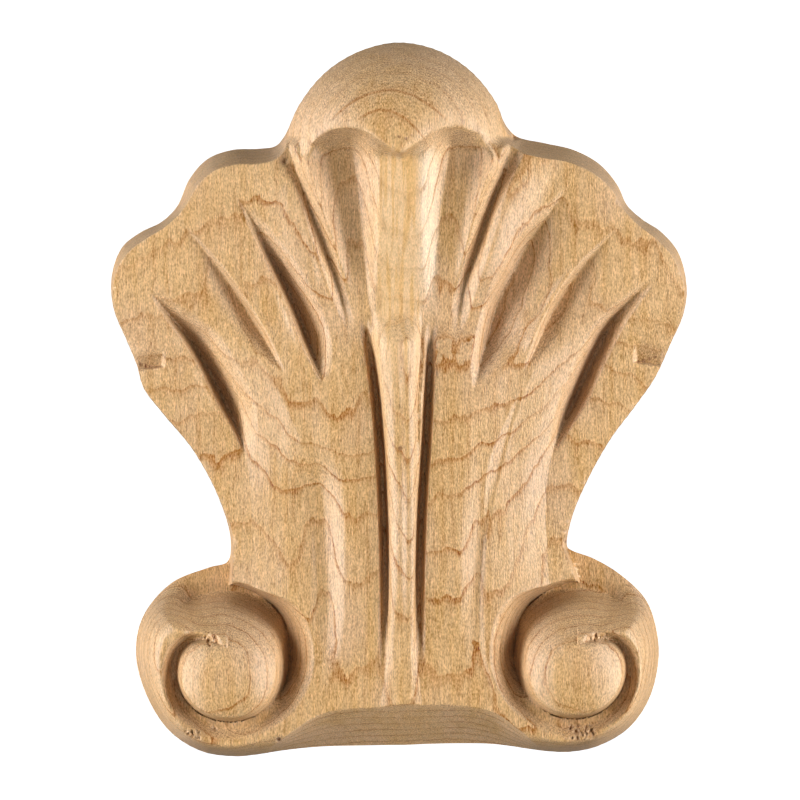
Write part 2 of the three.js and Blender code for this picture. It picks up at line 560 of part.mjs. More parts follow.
function rimEdges(triangles) {
  // Sides that belong to one triangle only, in the order that triangle takes them
  const sides = new Map();
  for (const triangle of triangles) {
    triangle.forEach((p, i) => sides.set(`${p},${triangle[(i + 1) % 3]}`, [p, triangle[(i + 1) % 3]]));
  }
  return [...sides.values()].filter(([p, q]) => !sides.has(`${q},${p}`));
}

// Twice the area of a triangle as the viewer sees it, more than nothing where it faces the viewer
const planArea = (a, b, c) => (b[0] - a[0]) * (c[2] - a[2]) - (b[2] - a[2]) * (c[0] - a[0]);

function planeError(normal, through, weight) {
  // Squared distance to a plane, as the ten terms of a symmetric matrix
  const plane = [normal.x, normal.y, normal.z, -normal.dot(through)];
  return plane.flatMap((p, i) => plane.slice(i).map((q) => p * q * weight));
}

function errorAt(terms, point) {
  const corner = [...point, 1];
  let total = 0;
  let k = 0;
  for (let i = 0; i < 4; i += 1) {
    for (let j = i; j < 4; j += 1) {
      total += terms[k] * corner[i] * corner[j] * (i === j ? 1 : 2);
      k += 1;
    }
  }
  return total;
}

function thinned({ points, triangles }, wanted) {
  // Takes points away where the carving is plain, cheapest first, and keeps those along its lines
  const at = points.map((point) => new THREE.Vector3(...point));
  const around = points.map(() => new Set());
  const errors = points.map(() => new Array(10).fill(0));
  const add = (p, terms) => terms.forEach((term, k) => { errors[p][k] += term; });
  triangles.forEach((triangle, t) => {
    const [a, b, c] = triangle.map((p) => at[p]);
    const normal = b.clone().sub(a).cross(c.clone().sub(a));
    const area = normal.length();
    for (const p of triangle) {
      around[p].add(t);
      add(p, planeError(normal.clone().normalize(), a, area));
    }
  });
  const onRim = new Set();
  for (const [p, q] of rimEdges(triangles)) {
    const side = at[q].clone().sub(at[p]);
    const normal = side.clone().cross(new THREE.Vector3(0, 1, 0)).normalize();
    for (const end of [p, q]) {
      onRim.add(end);
      add(end, planeError(normal, at[p], RIM_WEIGHT * side.length()));
    }
  }
  const neighbours = (p) => new Set([...around[p]].flatMap((t) => triangles[t]).filter((q) => q !== p));
  const movesOf = (from) => [...neighbours(from)].map((to) => {
    const error = errorAt(errors[from].map((term, k) => term + errors[to][k]), points[to]);
    return { from, to, cost: error + SHORT_FIRST * at[from].distanceToSquared(at[to]) };
  });
  const allowed = (from, to) => {
    const near = neighbours(to);
    const between = [...around[from]].filter((t) => triangles[t].includes(to));
    if ([...neighbours(from)].filter((p) => near.has(p)).length !== between.length) return false;
    if (onRim.has(from) && between.length !== 1) return false;
    return [...around[from]].filter((t) => !between.includes(t)).every((t) => {
      const moved = triangles[t].map((p) => points[p === from ? to : p]);
      return planArea(...moved) > LEAST_PLAN_AREA;
    });
  };
  let count = triangles.length;
  for (let limit = 1e-4; count > wanted; limit *= 1.6) {
    const touched = new Set();
    const living = points.map((_, p) => p).filter((p) => around[p].size > 0);
    const moves = living.flatMap(movesOf).filter((move) => move.cost < limit);
    moves.sort((a, b) => a.cost - b.cost);
    for (const { from, to } of moves) {
      if (count > wanted && !touched.has(from) && !touched.has(to) && allowed(from, to)) {
        for (const p of [from, ...neighbours(from)]) touched.add(p);
        for (const t of [...around[from]]) {
          if (triangles[t].includes(to)) {
            for (const p of triangles[t]) around[p].delete(t);
            count -= 1;
          } else {
            triangles[t] = triangles[t].map((p) => (p === from ? to : p));
            around[to].add(t);
          }
        }
        around[from].clear();
        add(to, errors[from]);
      }
    }
  }
  return triangles.filter((triangle, t) => around[triangle[0]].has(t));
}

function appliqueGeometry() {
  const face = carvedFace();
  const { points } = face;
  const kept = thinned(face, FACE_TRIANGLES);
  const rim = new Map(rimEdges(kept));
  const loop = [rim.keys().next().value];
  while (rim.get(loop.at(-1)) !== loop[0]) loop.push(rim.get(loop.at(-1)));
  const onBack = loop.map((p) => [points[p][0], 0, points[p][2]]);
  const corners = kept.map((triangle) => triangle.map((p) => points[p]));
  loop.forEach((p, i) => {
    const next = (i + 1) % loop.length;
    const [a, b] = [points[p], points[loop[next]]];
    corners.push([b, a, onBack[i]], [b, onBack[i], onBack[next]]);
  });
  const contour = onBack.map(([x, , z]) => new THREE.Vector2(x, z));
  for (const triangle of THREE.ShapeUtils.triangulateShape(contour, [])) {
    const places = triangle.map((i) => onBack[i]);
    corners.push(planArea(...places) > 0 ? places.reverse() : places);
  }
  const geometry = new THREE.BufferGeometry();
  geometry.setAttribute('position', new THREE.Float32BufferAttribute(corners.flat(2), 3));
  const merged = mergeVertices(geometry, 1e-4);
  merged.computeVertexNormals();
  return merged;
}

const maple = new THREE.MeshStandardMaterial({ color: 0xd2ad7c, roughness: 0.5, metalness: 0 });
const applique = new THREE.Mesh(appliqueGeometry(), maple);
applique.name = 'shell_applique';

const group = new THREE.Group();
group.add(applique);

export default group;
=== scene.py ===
"""Carved maple shell applique: the carved face in full relief, its wood, and a plain studio."""
import math

import bmesh
import bpy
import numpy as np
from bpy.props import FloatProperty, FloatVectorProperty, IntProperty, PointerProperty
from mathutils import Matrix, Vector, noise
from mathutils.kdtree import KDTree


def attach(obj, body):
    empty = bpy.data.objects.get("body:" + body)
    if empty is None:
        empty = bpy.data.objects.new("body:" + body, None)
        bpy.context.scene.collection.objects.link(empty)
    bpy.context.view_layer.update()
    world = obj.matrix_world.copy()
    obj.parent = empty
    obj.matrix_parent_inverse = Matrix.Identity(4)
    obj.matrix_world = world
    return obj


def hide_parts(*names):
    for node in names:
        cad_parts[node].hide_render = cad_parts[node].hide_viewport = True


bl_info = {
    "name": "Carved shell applique",
    "version": (1, 0, 0),
    "blender": (4, 5, 0),
    "location": "3D View > Sidebar > Applique",
    "description": "Carves a maple shell applique in relief and lights it in a plain studio",
    "category": "Object",
}

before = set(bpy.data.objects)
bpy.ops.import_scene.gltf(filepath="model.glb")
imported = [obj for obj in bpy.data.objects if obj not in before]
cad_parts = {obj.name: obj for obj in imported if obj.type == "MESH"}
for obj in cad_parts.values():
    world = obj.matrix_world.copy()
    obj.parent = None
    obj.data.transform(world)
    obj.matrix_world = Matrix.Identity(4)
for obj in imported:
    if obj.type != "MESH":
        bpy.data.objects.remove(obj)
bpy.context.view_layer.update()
MM = 0.001

# Heights above the flat back, in millimetres as all the carving's sizes are
EDGE_HEIGHT = 3.2
RIM_HEIGHT = 14.4
BUTTON_HEIGHT = 17.8
DOME_HEIGHT = 22.0
LOBE_EDGE_HEIGHT = 10.5

# Middle of the dome and its half sizes
DOME = {"x": -0.5, "z": 44.4, "across": 20.9, "up": 19.5, "down": 30.2}

# Half the width of the strip over which the left and right carving are blended
SEAM_BLEND = 1.5

# Outline of each half, from crown to foot: x, z, width of the sloping edge band seen from the front
OUTLINE = {
    "left": [
        (0, 63.6, 0.2), (-7.1, 62, 0.2), (-13.2, 58.2, 0.2), (-17.8, 52.5, 0.2), (-20.4, 47, 0.4),
        (-22, 45.2, 1.8), (-25.1, 44.7, 2.2), (-29.7, 44.5, 2.3), (-34.1, 42.9, 2.2), (-37.3, 39.4, 1.8),
        (-39.6, 34.4, 1.2), (-42.3, 31.7, 1.1), (-46.1, 29.8, 1.7), (-49.4, 27.1, 1.7), (-51.2, 22.1, 0.7),
        (-50.9, 16.3, 0.4), (-48.5, 10.4, 0.3), (-46.8, 6.3, 0.3), (-45.5, 2, 0.3), (-42.1, -2.5, 0.3),
        (-36.6, -9.2, 0.3), (-32, -17.9, 0.3), (-30, -25.2, 0.7), (-30.6, -28.9, 0.5), (-34, -30, 0.3),
        (-40.7, -32.8, 0.2), (-45.7, -38.8, 0.2), (-46.9, -45.4, 0.2), (-45, -52.7, 0.2),
        (-40.9, -59.1, 0.2), (-35.2, -62.7, 0.2), (-29.2, -63.6, 0.2), (-25.5, -63.3, 0.5), (-21, -62.6, 1.4),
        (-16.7, -62.1, 3), (-12.3, -61.8, 4.5), (-6.6, -61.7, 4.7), (0, -61.6, 4.7),
    ],
    "right": [
        (0, 63.6, 0.2), (6.9, 62.2, 0.2), (12.8, 58.5, 0.2), (17.2, 53.1, 0.2), (19, 49, 0.4),
        (21, 46.9, 1.8), (26, 45.7, 2.1), (31.1, 44.5, 2.1), (35.7, 42, 1.9), (38.9, 38.3, 1.3),
        (40.7, 34.6, 1), (43.4, 32.1, 1.3), (46.6, 30, 1.7), (49.8, 26.2, 1.5), (51.3, 20, 0.7),
        (50.7, 15.2, 0.4), (48.4, 9.9, 0.3), (45.7, 4, 0.3), (42.1, -1.2, 0.3), (37.9, -6.8, 0.3),
        (33.8, -14, 0.3), (30.8, -21.2, 0.4), (30, -26.2, 0.7), (30.8, -26.9, 0.5), (34.8, -28.4, 0.3),
        (39.6, -31.3, 0.2), (43.9, -35.5, 0.2), (45.7, -40.1, 0.2), (46.3, -46, 0.2), (44.6, -53.3, 0.2),
        (40.9, -58.6, 0.2), (35.4, -61.8, 0.2), (30.5, -62.8, 0.2), (26.5, -62.7, 0.6), (23.3, -62.3, 1.4),
        (20, -61.8, 2.6), (16.5, -61.4, 4), (11.9, -61.3, 4.8), (5.5, -61.4, 4.9), (0, -61.6, 4.7),
    ],
}

# Flutes, outermost first. track is z, x down the middle of the cut; top, full and end say where the cut
# starts, where it has its whole depth, and where it runs out; outer and inner are the widths of its two
# walls; lip is the height of the raised line on the outer wall, or with a minus on the inner one.
FLUTES = {
    "left": [
        {"track": [(21.2, -45.5), (15.7, -41.1), (11.5, -37.5), (6.7, -34.5), (0.8, -31.5), (-5.4, -28.6),
                   (-11.5, -26.5)],
         "top": 20.5, "full": (10, 1), "end": -10.5, "depth": 4.4, "outer": 1.5, "inner": 5, "lip": 0.3},
        {"track": [(29.8, -37.4), (24.4, -32.9), (17.7, -28.3), (11.8, -24.6), (6.7, -21.6)],
         "top": 34, "full": (17, 13), "end": 4, "depth": 2.1, "outer": 5, "inner": 1.1, "lip": -0.4},
        {"track": [(35.8, -28.3), (28.4, -24.4), (21.1, -20.4), (14.7, -17.6), (8.4, -15.3), (3.1, -13.5)],
         "top": 39, "full": (16, 12), "end": 2, "depth": 4.3, "outer": 1.5, "inner": 4.3, "lip": 0.35},
        {"track": [(43.3, -20.6), (38.3, -18), (32.8, -15.5), (26.2, -13.1), (17.7, -10.3), (12.5, -8.8)],
         "top": 41, "full": (28, 19), "end": 10, "depth": 0.75, "outer": 1.5, "inner": 2.5, "lip": 0.3},
    ],
    "right": [
        {"track": [(23.4, 47.1), (19.3, 42.8), (14.1, 38), (8.4, 34.8), (1, 31.5), (-5.1, 28.8), (-10, 26.7)],
         "top": 23.4, "full": (10, 1), "end": -10.5, "depth": 4.3, "outer": 2.6, "inner": 2.6, "lip": 0},
        {"track": [(31.6, 40.4), (27.6, 36.1), (21.1, 30.8), (15.2, 27.2), (10, 24.7), (6, 22.8)],
         "top": 32, "full": (20, 12), "end": 4.4, "depth": 2.1, "outer": 5.6, "inner": 1.1, "lip": -0.7},
        {"track": [(33, 26.8), (27.8, 23), (22.7, 20.4), (17.7, 17.9), (10.8, 15.9), (5.1, 14.2), (0, 13.2)],
         "top": 40, "full": (24, 11), "end": 1, "depth": 3.8, "outer": 8, "inner": 2.6, "lip": 0},
        {"track": [(43, 21.2), (38.3, 18.8), (32.8, 16.4), (26.2, 14.1), (17.7, 11.3), (10.8, 10)],
         "top": 42, "full": (29, 18), "end": 9.2, "depth": 0.85, "outer": 2.1, "inner": 2, "lip": 0.2},
    ],
}
FLUTE_FLAT = 0.12
LIP_WIDTH = 0.9
GENTLE_WALL = 4

# Deep narrow grooves beside the middle rib
RIB_GROOVE = {"depth": 3.2, "half": 0.9, "full": -22, "end": -50}
RIB_GROOVES = {
    "left": {
        "track": [(18.4, -7.1), (11.5, -5.7), (2.6, -4.3), (-7.2, -3.4), (-17.9, -2.8), (-37.4, -2.5),
                  (-47, -2.8)],
        "top": 16, "start": 2},
    "right": {
        "track": [(20.2, 6.8), (11.5, 5.7), (2.6, 5.3), (-7.2, 4.8), (-17.9, 4.1), (-37.4, 3.6), (-47, 3.7)],
        "top": 16, "start": 0},
}

# Lines that run down the carving, as z, x
HOLLOW_FLOOR = {
    "left": [(46.1, -11.4), (40.4, -10.1), (33.7, -9), (26.6, -8.2), (20.4, -7.4), (15.9, -6.9)],
    "right": [(46.5, 11.9), (40.4, 10.9), (33.7, 9.8), (26.6, 8.9), (20.4, 8), (17.7, 7.2)],
}
HOOD_RIDGE = {
    "left": [(44.4, -17.1), (39.9, -15.8), (34, -13.9), (27.8, -11.7), (21.2, -9.8), (14.5, -8), (8.8, -6.6)],
    "right": [(44.4, 17.4), (39.9, 16), (34, 14), (27.8, 12.3), (21.2, 10.7), (14.5, 9.2), (8.8, 8.4)],
}
STRAP_EDGE = {
    "left": [(9.7, -24.4), (2.6, -21.3), (-4.5, -19), (-12.5, -17.1), (-21.4, -15.6), (-30.3, -14.9),
             (-39.2, -14.8), (-46.3, -15.3), (-52.5, -17.6), (-55.6, -20.1), (-59.6, -25.6)],
    "right": [(9.7, 26), (2.6, 22.2), (-4.5, 19.9), (-12.5, 17.8), (-21.4, 15.8), (-30.3, 14.8),
              (-39.2, 14.6), (-46.3, 15.1), (-52.5, 17.4), (-56.3, 20.1), (-60.4, 25.6)],
}
SHOULDER_TAIL = {"left": [(-17.9, -25.8), (-28.5, -26.1)], "right": [(-17.9, 25.6), (-28.5, 26)]}
RIB_MIDDLE = [(44.4, 0.4), (10.6, -0.3), (-9, 0.4), (-53.4, 0.4)]

# Lower edge of the dome, as x, z: two arches that meet in a point over the rib
BROW = [
    (-22.9, 37.2), (-19.7, 40.4), (-17.6, 42), (-16.2, 44), (-14.4, 46.1), (-12.1, 47.5), (-9.6, 47.9),
    (-7.1, 47.7), (-4.6, 46.5), (-2.3, 44.9), (0, 43.5), (2.3, 44.7), (4.4, 46.1), (6.8, 47.4), (9.4, 48),
    (12.1, 47.7), (14.6, 46.7), (16.5, 44.9), (18, 42.4), (20.1, 40.4), (23.3, 37.2),
]

# Rise of the straps from their outer line inwards, as z, height
SHOULDER_RISE = {
    "left": [(15, 0), (5, 2.8), (-3, 4), (-10, 3.8), (-17, 2.4), (-30, 1.8), (-43, 0)],
    "right": [(16, 0), (10, 3), (5, 4.4), (-3, 5), (-10, 5), (-18, 4.6), (-30, 3.8), (-43, 0)],
}

# How far the brow's edge rolls over, as x, depth
BROW_ROLL = [(-16, 0.3), (-9, 0.45), (-1, 0.3), (2.5, 0.9), (8, 1.1), (12, 0.7), (16, 0.4)]

# Heights down the carving, as z, height: body at the middle and 44 mm out, rib, hollow floor, hood ridge
BODY_MIDDLE = [(44.4, 13.6), (35.5, 13.3), (17.7, 12.5), (0, 12), (-9, 12.2), (-28.5, 13), (-44.5, 13.8),
               (-55.2, 14.2)]
BODY_EDGE = [(44.4, 11.6), (26.6, 11), (8.8, 10), (-9, 9.4), (-28.5, 10.2), (-44.5, 12.4), (-55.2, 13.2)]
RIB_CREST = [(46.1, 19), (41.7, 18.2), (35.5, 17.4), (26.6, 16.3), (17.7, 15.3), (8.8, 14.6), (-9, 13.8),
             (-28.5, 14), (-44.5, 14.6), (-55.2, 15)]
RIB_HALF = [(42.6, 7.1), (35.5, 5.9), (26.6, 5), (12.4, 4.1), (0, 3.2), (-9, 2.8), (-28.5, 2.4),
            (-44.5, 2.7), (-53.4, 3.7)]
HOLLOW_HEIGHT = {
    "left": [(47.6, 14), (42.6, 13.6), (37.3, 13.4), (30, 12.9), (24, 12.6), (17.7, 12.5), (12.4, 12.4)],
    "right": [(47.6, 14.1), (42.6, 14.1), (37.3, 14.2), (30, 13.8), (24, 13.2), (17.7, 12.8), (12.4, 12.4)],
}
HOOD_HEIGHT = [(46.1, 17.4), (41.7, 16.8), (34, 15.6), (27.8, 14.6), (21.2, 13.5), (14.5, 12.6), (8.8, 12.1)]
HOOD_WALL = [(44.4, 2.7), (28.4, 2.5), (12.4, 1.6)]
TROUGH_DEPTH = {
    "left": [(6, 0), (-3, 0.3), (-9, 0.7), (-16, 1.8), (-28.5, 1.9), (-40, 1.5), (-50, 0.3), (-56, 0)],
    "right": [(10, 0), (3, 1), (-6, 1.2), (-18, 1.4), (-28.5, 1.4), (-38, 0.8), (-50, 0.3), (-56, 0)],
}
TROUGH_WIDTH = {
    "left": [(9.7, 8), (-0.1, 8.2), (-12.5, 7.3), (-28.5, 6), (-42.8, 5.4), (-53.4, 4)],
    "right": [(9.7, 8), (-0.1, 8.2), (-9, 8), (-16, 6.5), (-28.5, 4.6), (-42.8, 4.2), (-53.4, 3)],
}
BODY_REACH = 44.5
BODY_FALL = 1.6
SHOULDER_WIDTH = 11
SHOULDER_LEVEL = 0.4
DOME_FOOT = 14.6
COVE_LEAST = 1.2
COVE_MORE = 4.8
BEAD_HEIGHT = 0.17
BEAD_WIDTH = 0.8
CREASE_DEPTH = 0.07
CREASE_WIDTH = 0.4
LEAST_WALL_SLOPE = 1.24
ARRIS_BLEND = 0.4

# Where one part of the carving gives way to the next, as start and stop: by z, then by distance out
HOOD_TO_BODY = (17.7, 9.7)
BODY_TO_VOLUTE = (-25.5, -27)
BODY_TO_RIM = (-51.7, -57)
RIM_OUT = (12.4, 17.8)
BELOW_DOME_TOP = (46.8, 44.2)
DOME_SIDE = (14.5, 17.5)
DOME_END = (18.2, 21.3)
CROWN_START = (12, 24)
CROWN_FADE = (36, 43)
WAIST = -28.5

# How full the rounded sections are
RIB_ROUND = 2.2
HOLLOW_ROUND = 2.4
COVE_ROUND = 2.6
BUTTON_ROUND = 2.6

# Small differences between the hand-carved halves
CHARACTER = {
    "left": {"crown": 1.2, "strap_fall": 0.95, "trough_flat": 0.3, "strap_bead": 0.1, "ridge_round": 0.9},
    "right": {"crown": 2.4, "strap_fall": 0.8, "trough_flat": 0.12, "strap_bead": 0.35, "ridge_round": 0.5},
}

# Volutes. The spiral is told by the angle turned from the cusp under the waist, outwards and down first.
VOLUTE = {
    "left": {"x": -30.6, "z": -48.1, "waist": (-29.7, -0.05), "cusp": 87.3},
    "right": {"x": 31.5, "z": -47.6, "waist": (30.3, 0.39), "cusp": 91},
}
BUTTON_RADIUS = [
    (0, 15.3), (23, 14.3), (47, 13.2), (70, 11.7), (99, 10.6), (133, 9.7), (175, 9.1), (265, 8.9),
    (290, 8.7), (305, 8.1), (323, 6.7), (343, 5.2), (360, 4.3),
]
GROOVE_WIDTH = [
    (0, 0.8), (22, 1.3), (45, 3.8), (85, 4.6), (110, 4.2), (140, 3.7), (175, 3.5), (210, 3.1), (265, 2.6),
    (310, 2.3), (335, 1.9), (360, 1.2),
]
GROOVE_FLOOR = [
    (0, 3.4), (20, 3.3), (45, 3.9), (85, 5.9), (102, 8.8), (122, 11.8), (175, 12.3), (265, 12.6),
    (300, 13.2), (330, 14.6), (345, 15.7), (360, 16.6),
]
GROOVE_REACH = [
    (0, 0), (6, 0.35), (20, 1), (60, 1), (322, 1), (336, 0.75), (350, 0.2), (357, 0), (360, 0),
]
INNER_WALL = [(0, 5), (30, 4), (50, 3), (90, 2.4), (120, 1.6), (175, 1.1), (300, 1), (360, 1.2)]
ROLL_WIDTH = [
    (0, 18.4), (60, 10.7), (120, 4.6), (147, 3.2), (175, 2.4), (215, 2.8), (240, 3.3), (265, 4.3),
    (300, 6.2), (320, 9), (340, 13.5), (360, 18.4),
]
SCROLL_CREST = [
    (0, 17.8), (60, 17), (120, 14), (175, 13.4), (230, 13.8), (280, 14.8), (310, 15.8), (335, 17),
    (360, 17.8),
]
BUTTON_DROP = 10.8
BUTTON_REACH = 13.6
BUTTON_SINK = 1.4
BUTTON_LEAN = 0.1
SHELF_HEIGHT = 3.6
SHELF_WIDTH = 6.5
SPUR_DIP = 0.6
SPUR_RADIUS = 13.8

# Marks left in the carving: tool notches as x, z, half width, half height and depth, pits as x, z, radius
# and depth, and patches of torn grain as x, z, half width and half height
NOTCHES = [(-44.2, 7, 2.4, 1.4, 1), (44.4, 8, 2.5, 1.7, 1)]
PITS = [(29.7, -25.3, 0.35, 0.7), (-21.3, -60.2, 0.4, 0.7), (-32.7, -58.4, 0.35, 0.6),
        (-20.3, 42.2, 0.5, 0.6)]
TORN = [(-33.8, -42.6, 2.2, 1.6), (35.3, -42, 2.4, 1.5), (32.4, -59, 4.2, 1.9), (-36.6, -59.4, 3, 1.2)]
TORN_DEPTH = 0.75

# Dark spots in the wood: x, z, radius, strength
SPOTS = [(0.2, -8.6, 0.55, 0.8), (0, 46.3, 0.35, 0.7), (1.2, 46, 0.4, 0.8), (2.2, 46.6, 0.3, 0.6),
         (29.7, -25.3, 0.4, 0.8), (-21.3, -60.2, 0.5, 0.9), (-20.3, 42.2, 0.4, 0.6),
         (-45.9, 6.2, 0.5, 0.6), (-45, 6, 0.5, 0.7), (-44.1, 5.8, 0.5, 0.6), (-43.2, 5.7, 0.4, 0.6),
         (42.6, 6.7, 0.4, 0.6), (43.5, 6.9, 0.5, 0.7), (44.5, 7.2, 0.5, 0.7), (45.5, 7.5, 0.4, 0.6),
         (-44.2, 7, 2.6, 0.14), (44.4, 8.2, 2.8, 0.22), (32.4, -59.4, 5, 0.22), (-35, -60.4, 4, 0.16)]

# Single growth lines, as the x and z of their highest point, their fall per squared mm to each side, and
# the x where they start and stop
ARCS = [(-1.8, 54.6, 0.051, -13, 9.5), (-3, 51, 0.09, -8.5, 6)]

# Each station of the outline is joined to a point of the spine: share of the outline, z
SPINE = [(0, 35), (0.136, 32.5), (0.2, 30.5), (0.27, 24.5), (0.35, 14), (0.42, 5), (0.5, -9), (0.6, -34),
         (0.66, -39), (0.75, -44), (0.86, -49), (1, -51.5)]


class CarvingSettings(bpy.types.PropertyGroup):
    """Fineness of the carved face."""

    stations_along: IntProperty(
        name="Stations along", description="Stations along each half of the outline", default=640, min=60)
    stations_out: IntProperty(
        name="Stations out", description="Stations from the spine out to the outline", default=190, min=20)
    triangles: IntProperty(
        name="Triangles", description="Most triangles the finished piece may have", default=190000, min=5000)


class MapleSettings(bpy.types.PropertyGroup):
    """Colours and finish of the bare maple."""

    light: FloatVectorProperty(
        name="Early wood", description="Colour of the wood between the growth lines",
        subtype="COLOR", size=3, min=0, max=1, default=(0.64, 0.4, 0.183))
    warm: FloatVectorProperty(
        name="Warm streaks", description="Colour of the yellower streaks along the fibres",
        subtype="COLOR", size=3, min=0, max=1, default=(0.6, 0.35, 0.13))
    pink: FloatVectorProperty(
        name="Pink streaks", description="Colour of the pinker patches",
        subtype="COLOR", size=3, min=0, max=1, default=(0.66, 0.43, 0.26))
    ring: FloatVectorProperty(
        name="Growth line", description="Colour of the thin brown growth lines",
        subtype="COLOR", size=3, min=0, max=1, default=(0.4, 0.165, 0.03))
    spot: FloatVectorProperty(
        name="Spot", description="Colour of the small dark spots",
        subtype="COLOR", size=3, min=0, max=1, default=(0.2, 0.07, 0.02))
    # Painted sheen: the lighter, pinker colour given to slopes that look sideways
    painted_side_sheen: FloatVectorProperty(
        name="Painted side sheen", description="Colour of the painted sheen on slopes that look sideways",
        subtype="COLOR", size=3, min=0, max=1, default=(0.75, 0.53, 0.36))
    rib: FloatVectorProperty(
        name="Rib", description="Colour of the pale yellow wood down the middle rib",
        subtype="COLOR", size=3, min=0, max=1, default=(0.9, 0.62, 0.33))
    thread: FloatVectorProperty(
        name="Rib streaks", description="Colour of the orange streaks down the middle rib",
        subtype="COLOR", size=3, min=0, max=1, default=(0.7, 0.4, 0.13))
    # Painted highlight: the whitish colour laid down the right flank of the middle rib
    flank_highlight: FloatVectorProperty(
        name="Rib flank", description="Colour of the painted highlight down the right flank of the middle rib",
        subtype="COLOR", size=3, min=0, max=1, default=(0.88, 0.68, 0.47))
    # End grain darkening mixed with painted shade on slopes that look up or down
    end_grain_and_shade: FloatVectorProperty(
        name="End grain and shade", description="Colour of the end grain and painted shade on slopes that look up or down",
        subtype="COLOR", size=3, min=0, max=1, default=(0.33, 0.23, 0.145))
    roughness: FloatProperty(
        name="Roughness", description="Roughness of the sanded face", default=0.42, min=0, max=1,
        subtype="FACTOR")


class StageSettings(bpy.types.PropertyGroup):
    """Camera, lights and backdrop."""

    distance: FloatProperty(
        name="Camera distance", description="From the camera to the flat back", default=1.6, unit="LENGTH")
    view_width: FloatProperty(
        name="View width", description="Width of the view at the carved face", default=0.1422, unit="LENGTH")
    side_power: FloatProperty(
        name="Side lights", description="Power of each soft box beside the piece", default=8.5, unit="POWER")
    front_power: FloatProperty(
        name="Front light", description="Power of the wide light behind the camera",
        default=2.7, unit="POWER")
    low_power: FloatProperty(
        name="Low light", description="Power of the narrow light under the piece",
        default=3.2, unit="POWER")


# Curves and blends


def knot_slopes(at, value):
    rise = np.diff(value) / np.diff(at)
    gap = np.diff(at)
    inner = (rise[:-1] * gap[1:] + rise[1:] * gap[:-1]) / (gap[1:] + gap[:-1])
    return np.concatenate([rise[:1], inner, rise[-1:]])


def curve(knots):
    """A smooth line through the knots that runs on straight beyond its ends."""
    at, value = np.array(sorted(knots), float).T
    slope = knot_slopes(at, value)

    def line(q):
        q = np.asarray(q, float)
        i = np.clip(np.searchsorted(at, q) - 1, 0, len(at) - 2)
        gap = at[i + 1] - at[i]
        w = np.clip((q - at[i]) / gap, 0, 1)
        v = 1 - w
        smooth = (1 + 2 * w) * v * v * value[i] + w * w * (3 - 2 * w) * value[i + 1]
        smooth += gap * (w * v * v * slope[i] - w * w * v * slope[i + 1])
        return smooth + np.minimum(q - at[0], 0) * slope[0] + np.maximum(q - at[-1], 0) * slope[-1]

    return line


def level_curve(knots):
    """A smooth line through the knots that stays level beyond its ends."""
    line = curve(knots)
    ends = [knot[0] for knot in knots]
    return lambda q: line(np.clip(q, min(ends), max(ends)))


def ease(start, stop, q):
    w = np.clip((q - start) / (stop - start), 0, 1)
    return w * w * (3 - 2 * w)


def soft_max(a, b, blend):
    w = np.clip(0.5 + 0.5 * (a - b) / blend, 0, 1)
    return b + (a - b) * w + blend * w * (1 - w)


def soft_min(a, b, blend):
    return -soft_max(-a, -b, blend)


def bell(q, width):
    return np.exp(-(q / width) ** 2)


def mix(a, b, share):
    return a + (b - a) * share


# Outline


def outline_points(stations, per_span=24):
    """A smooth closed curve through the stations, as x, z and width of the edge band."""
    s = np.array(stations, float)
    first = [2 * s[0, 0] - s[1, 0], s[1, 1], s[1, 2]]
    last = [2 * s[-1, 0] - s[-2, 0], s[-2, 1], s[-2, 2]]
    p = np.vstack([first, s, last])
    gap = np.sqrt(np.hypot(*np.diff(p[:, :2], axis=0).T))
    points = []
    w = (np.arange(per_span) / per_span)[:, None]
    v = 1 - w
    for i in range(1, len(p) - 2):
        a, b, c, d = p[i - 1, :2], p[i, :2], p[i + 1, :2], p[i + 2, :2]
        before, here, after = gap[i - 1], gap[i], gap[i + 1]
        start = here * ((b - a) / before - (c - a) / (before + here) + (c - b) / here)
        finish = here * ((c - b) / here - (d - b) / (here + after) + (d - c) / after)
        place = (1 + 2 * w) * v * v * b + w * w * (3 - 2 * w) * c + w * v * v * start - w * w * v * finish
        band = mix(p[i, 2], p[i + 1, 2], w)
        points.append(np.hstack([place, band]))
    points.append(s[-1:])
    return np.vstack(points)


def evenly(points, count):
    run = np.concatenate([[0], np.cumsum(np.hypot(*np.diff(points[:, :2], axis=0).T))])
    at = np.linspace(0, run[-1], count + 1)
    return np.column_stack([np.interp(at, run, column) for column in points.T])


# Relief


def half_lines(side):
    sign = -1 if side == "left" else 1
    return {
        "sign": sign,
        "flutes": [{**flute, "line": curve(flute["track"])} for flute in FLUTES[side]],
        "groove": {**RIB_GROOVES[side], "line": curve(RIB_GROOVES[side]["track"])},
        "hollow_floor": curve(HOLLOW_FLOOR[side]),
        "hollow_height": level_curve(HOLLOW_HEIGHT[side]),
        "hood_ridge": curve(HOOD_RIDGE[side]),
        "strap_edge": curve(STRAP_EDGE[side]),
        "shoulder": curve(FLUTES[side][0]["track"] + SHOULDER_TAIL[side]),
        "trough_width": level_curve(TROUGH_WIDTH[side]),
        "volute": VOLUTE[side],
        "shoulder_rise": level_curve(SHOULDER_RISE[side]),
        "trough_depth": level_curve(TROUGH_DEPTH[side]),
        **CHARACTER[side],
    }


HALVES = {side: half_lines(side) for side in OUTLINE}
body_middle = level_curve(BODY_MIDDLE)
body_edge = level_curve(BODY_EDGE)
rib_crest = level_curve(RIB_CREST)
rib_half = level_curve(RIB_HALF)
rib_middle = level_curve(RIB_MIDDLE)
hood_height = level_curve(HOOD_HEIGHT)
hood_wall = level_curve(HOOD_WALL)
brow_line = curve(BROW)
brow_roll = level_curve(BROW_ROLL)
button_radius = level_curve(BUTTON_RADIUS)
groove_width = level_curve(GROOVE_WIDTH)
groove_floor = level_curve(GROOVE_FLOOR)
groove_reach = level_curve(GROOVE_REACH)
roll_width = level_curve(ROLL_WIDTH)
scroll_crest = level_curve(SCROLL_CREST)
inner_wall = level_curve(INNER_WALL)


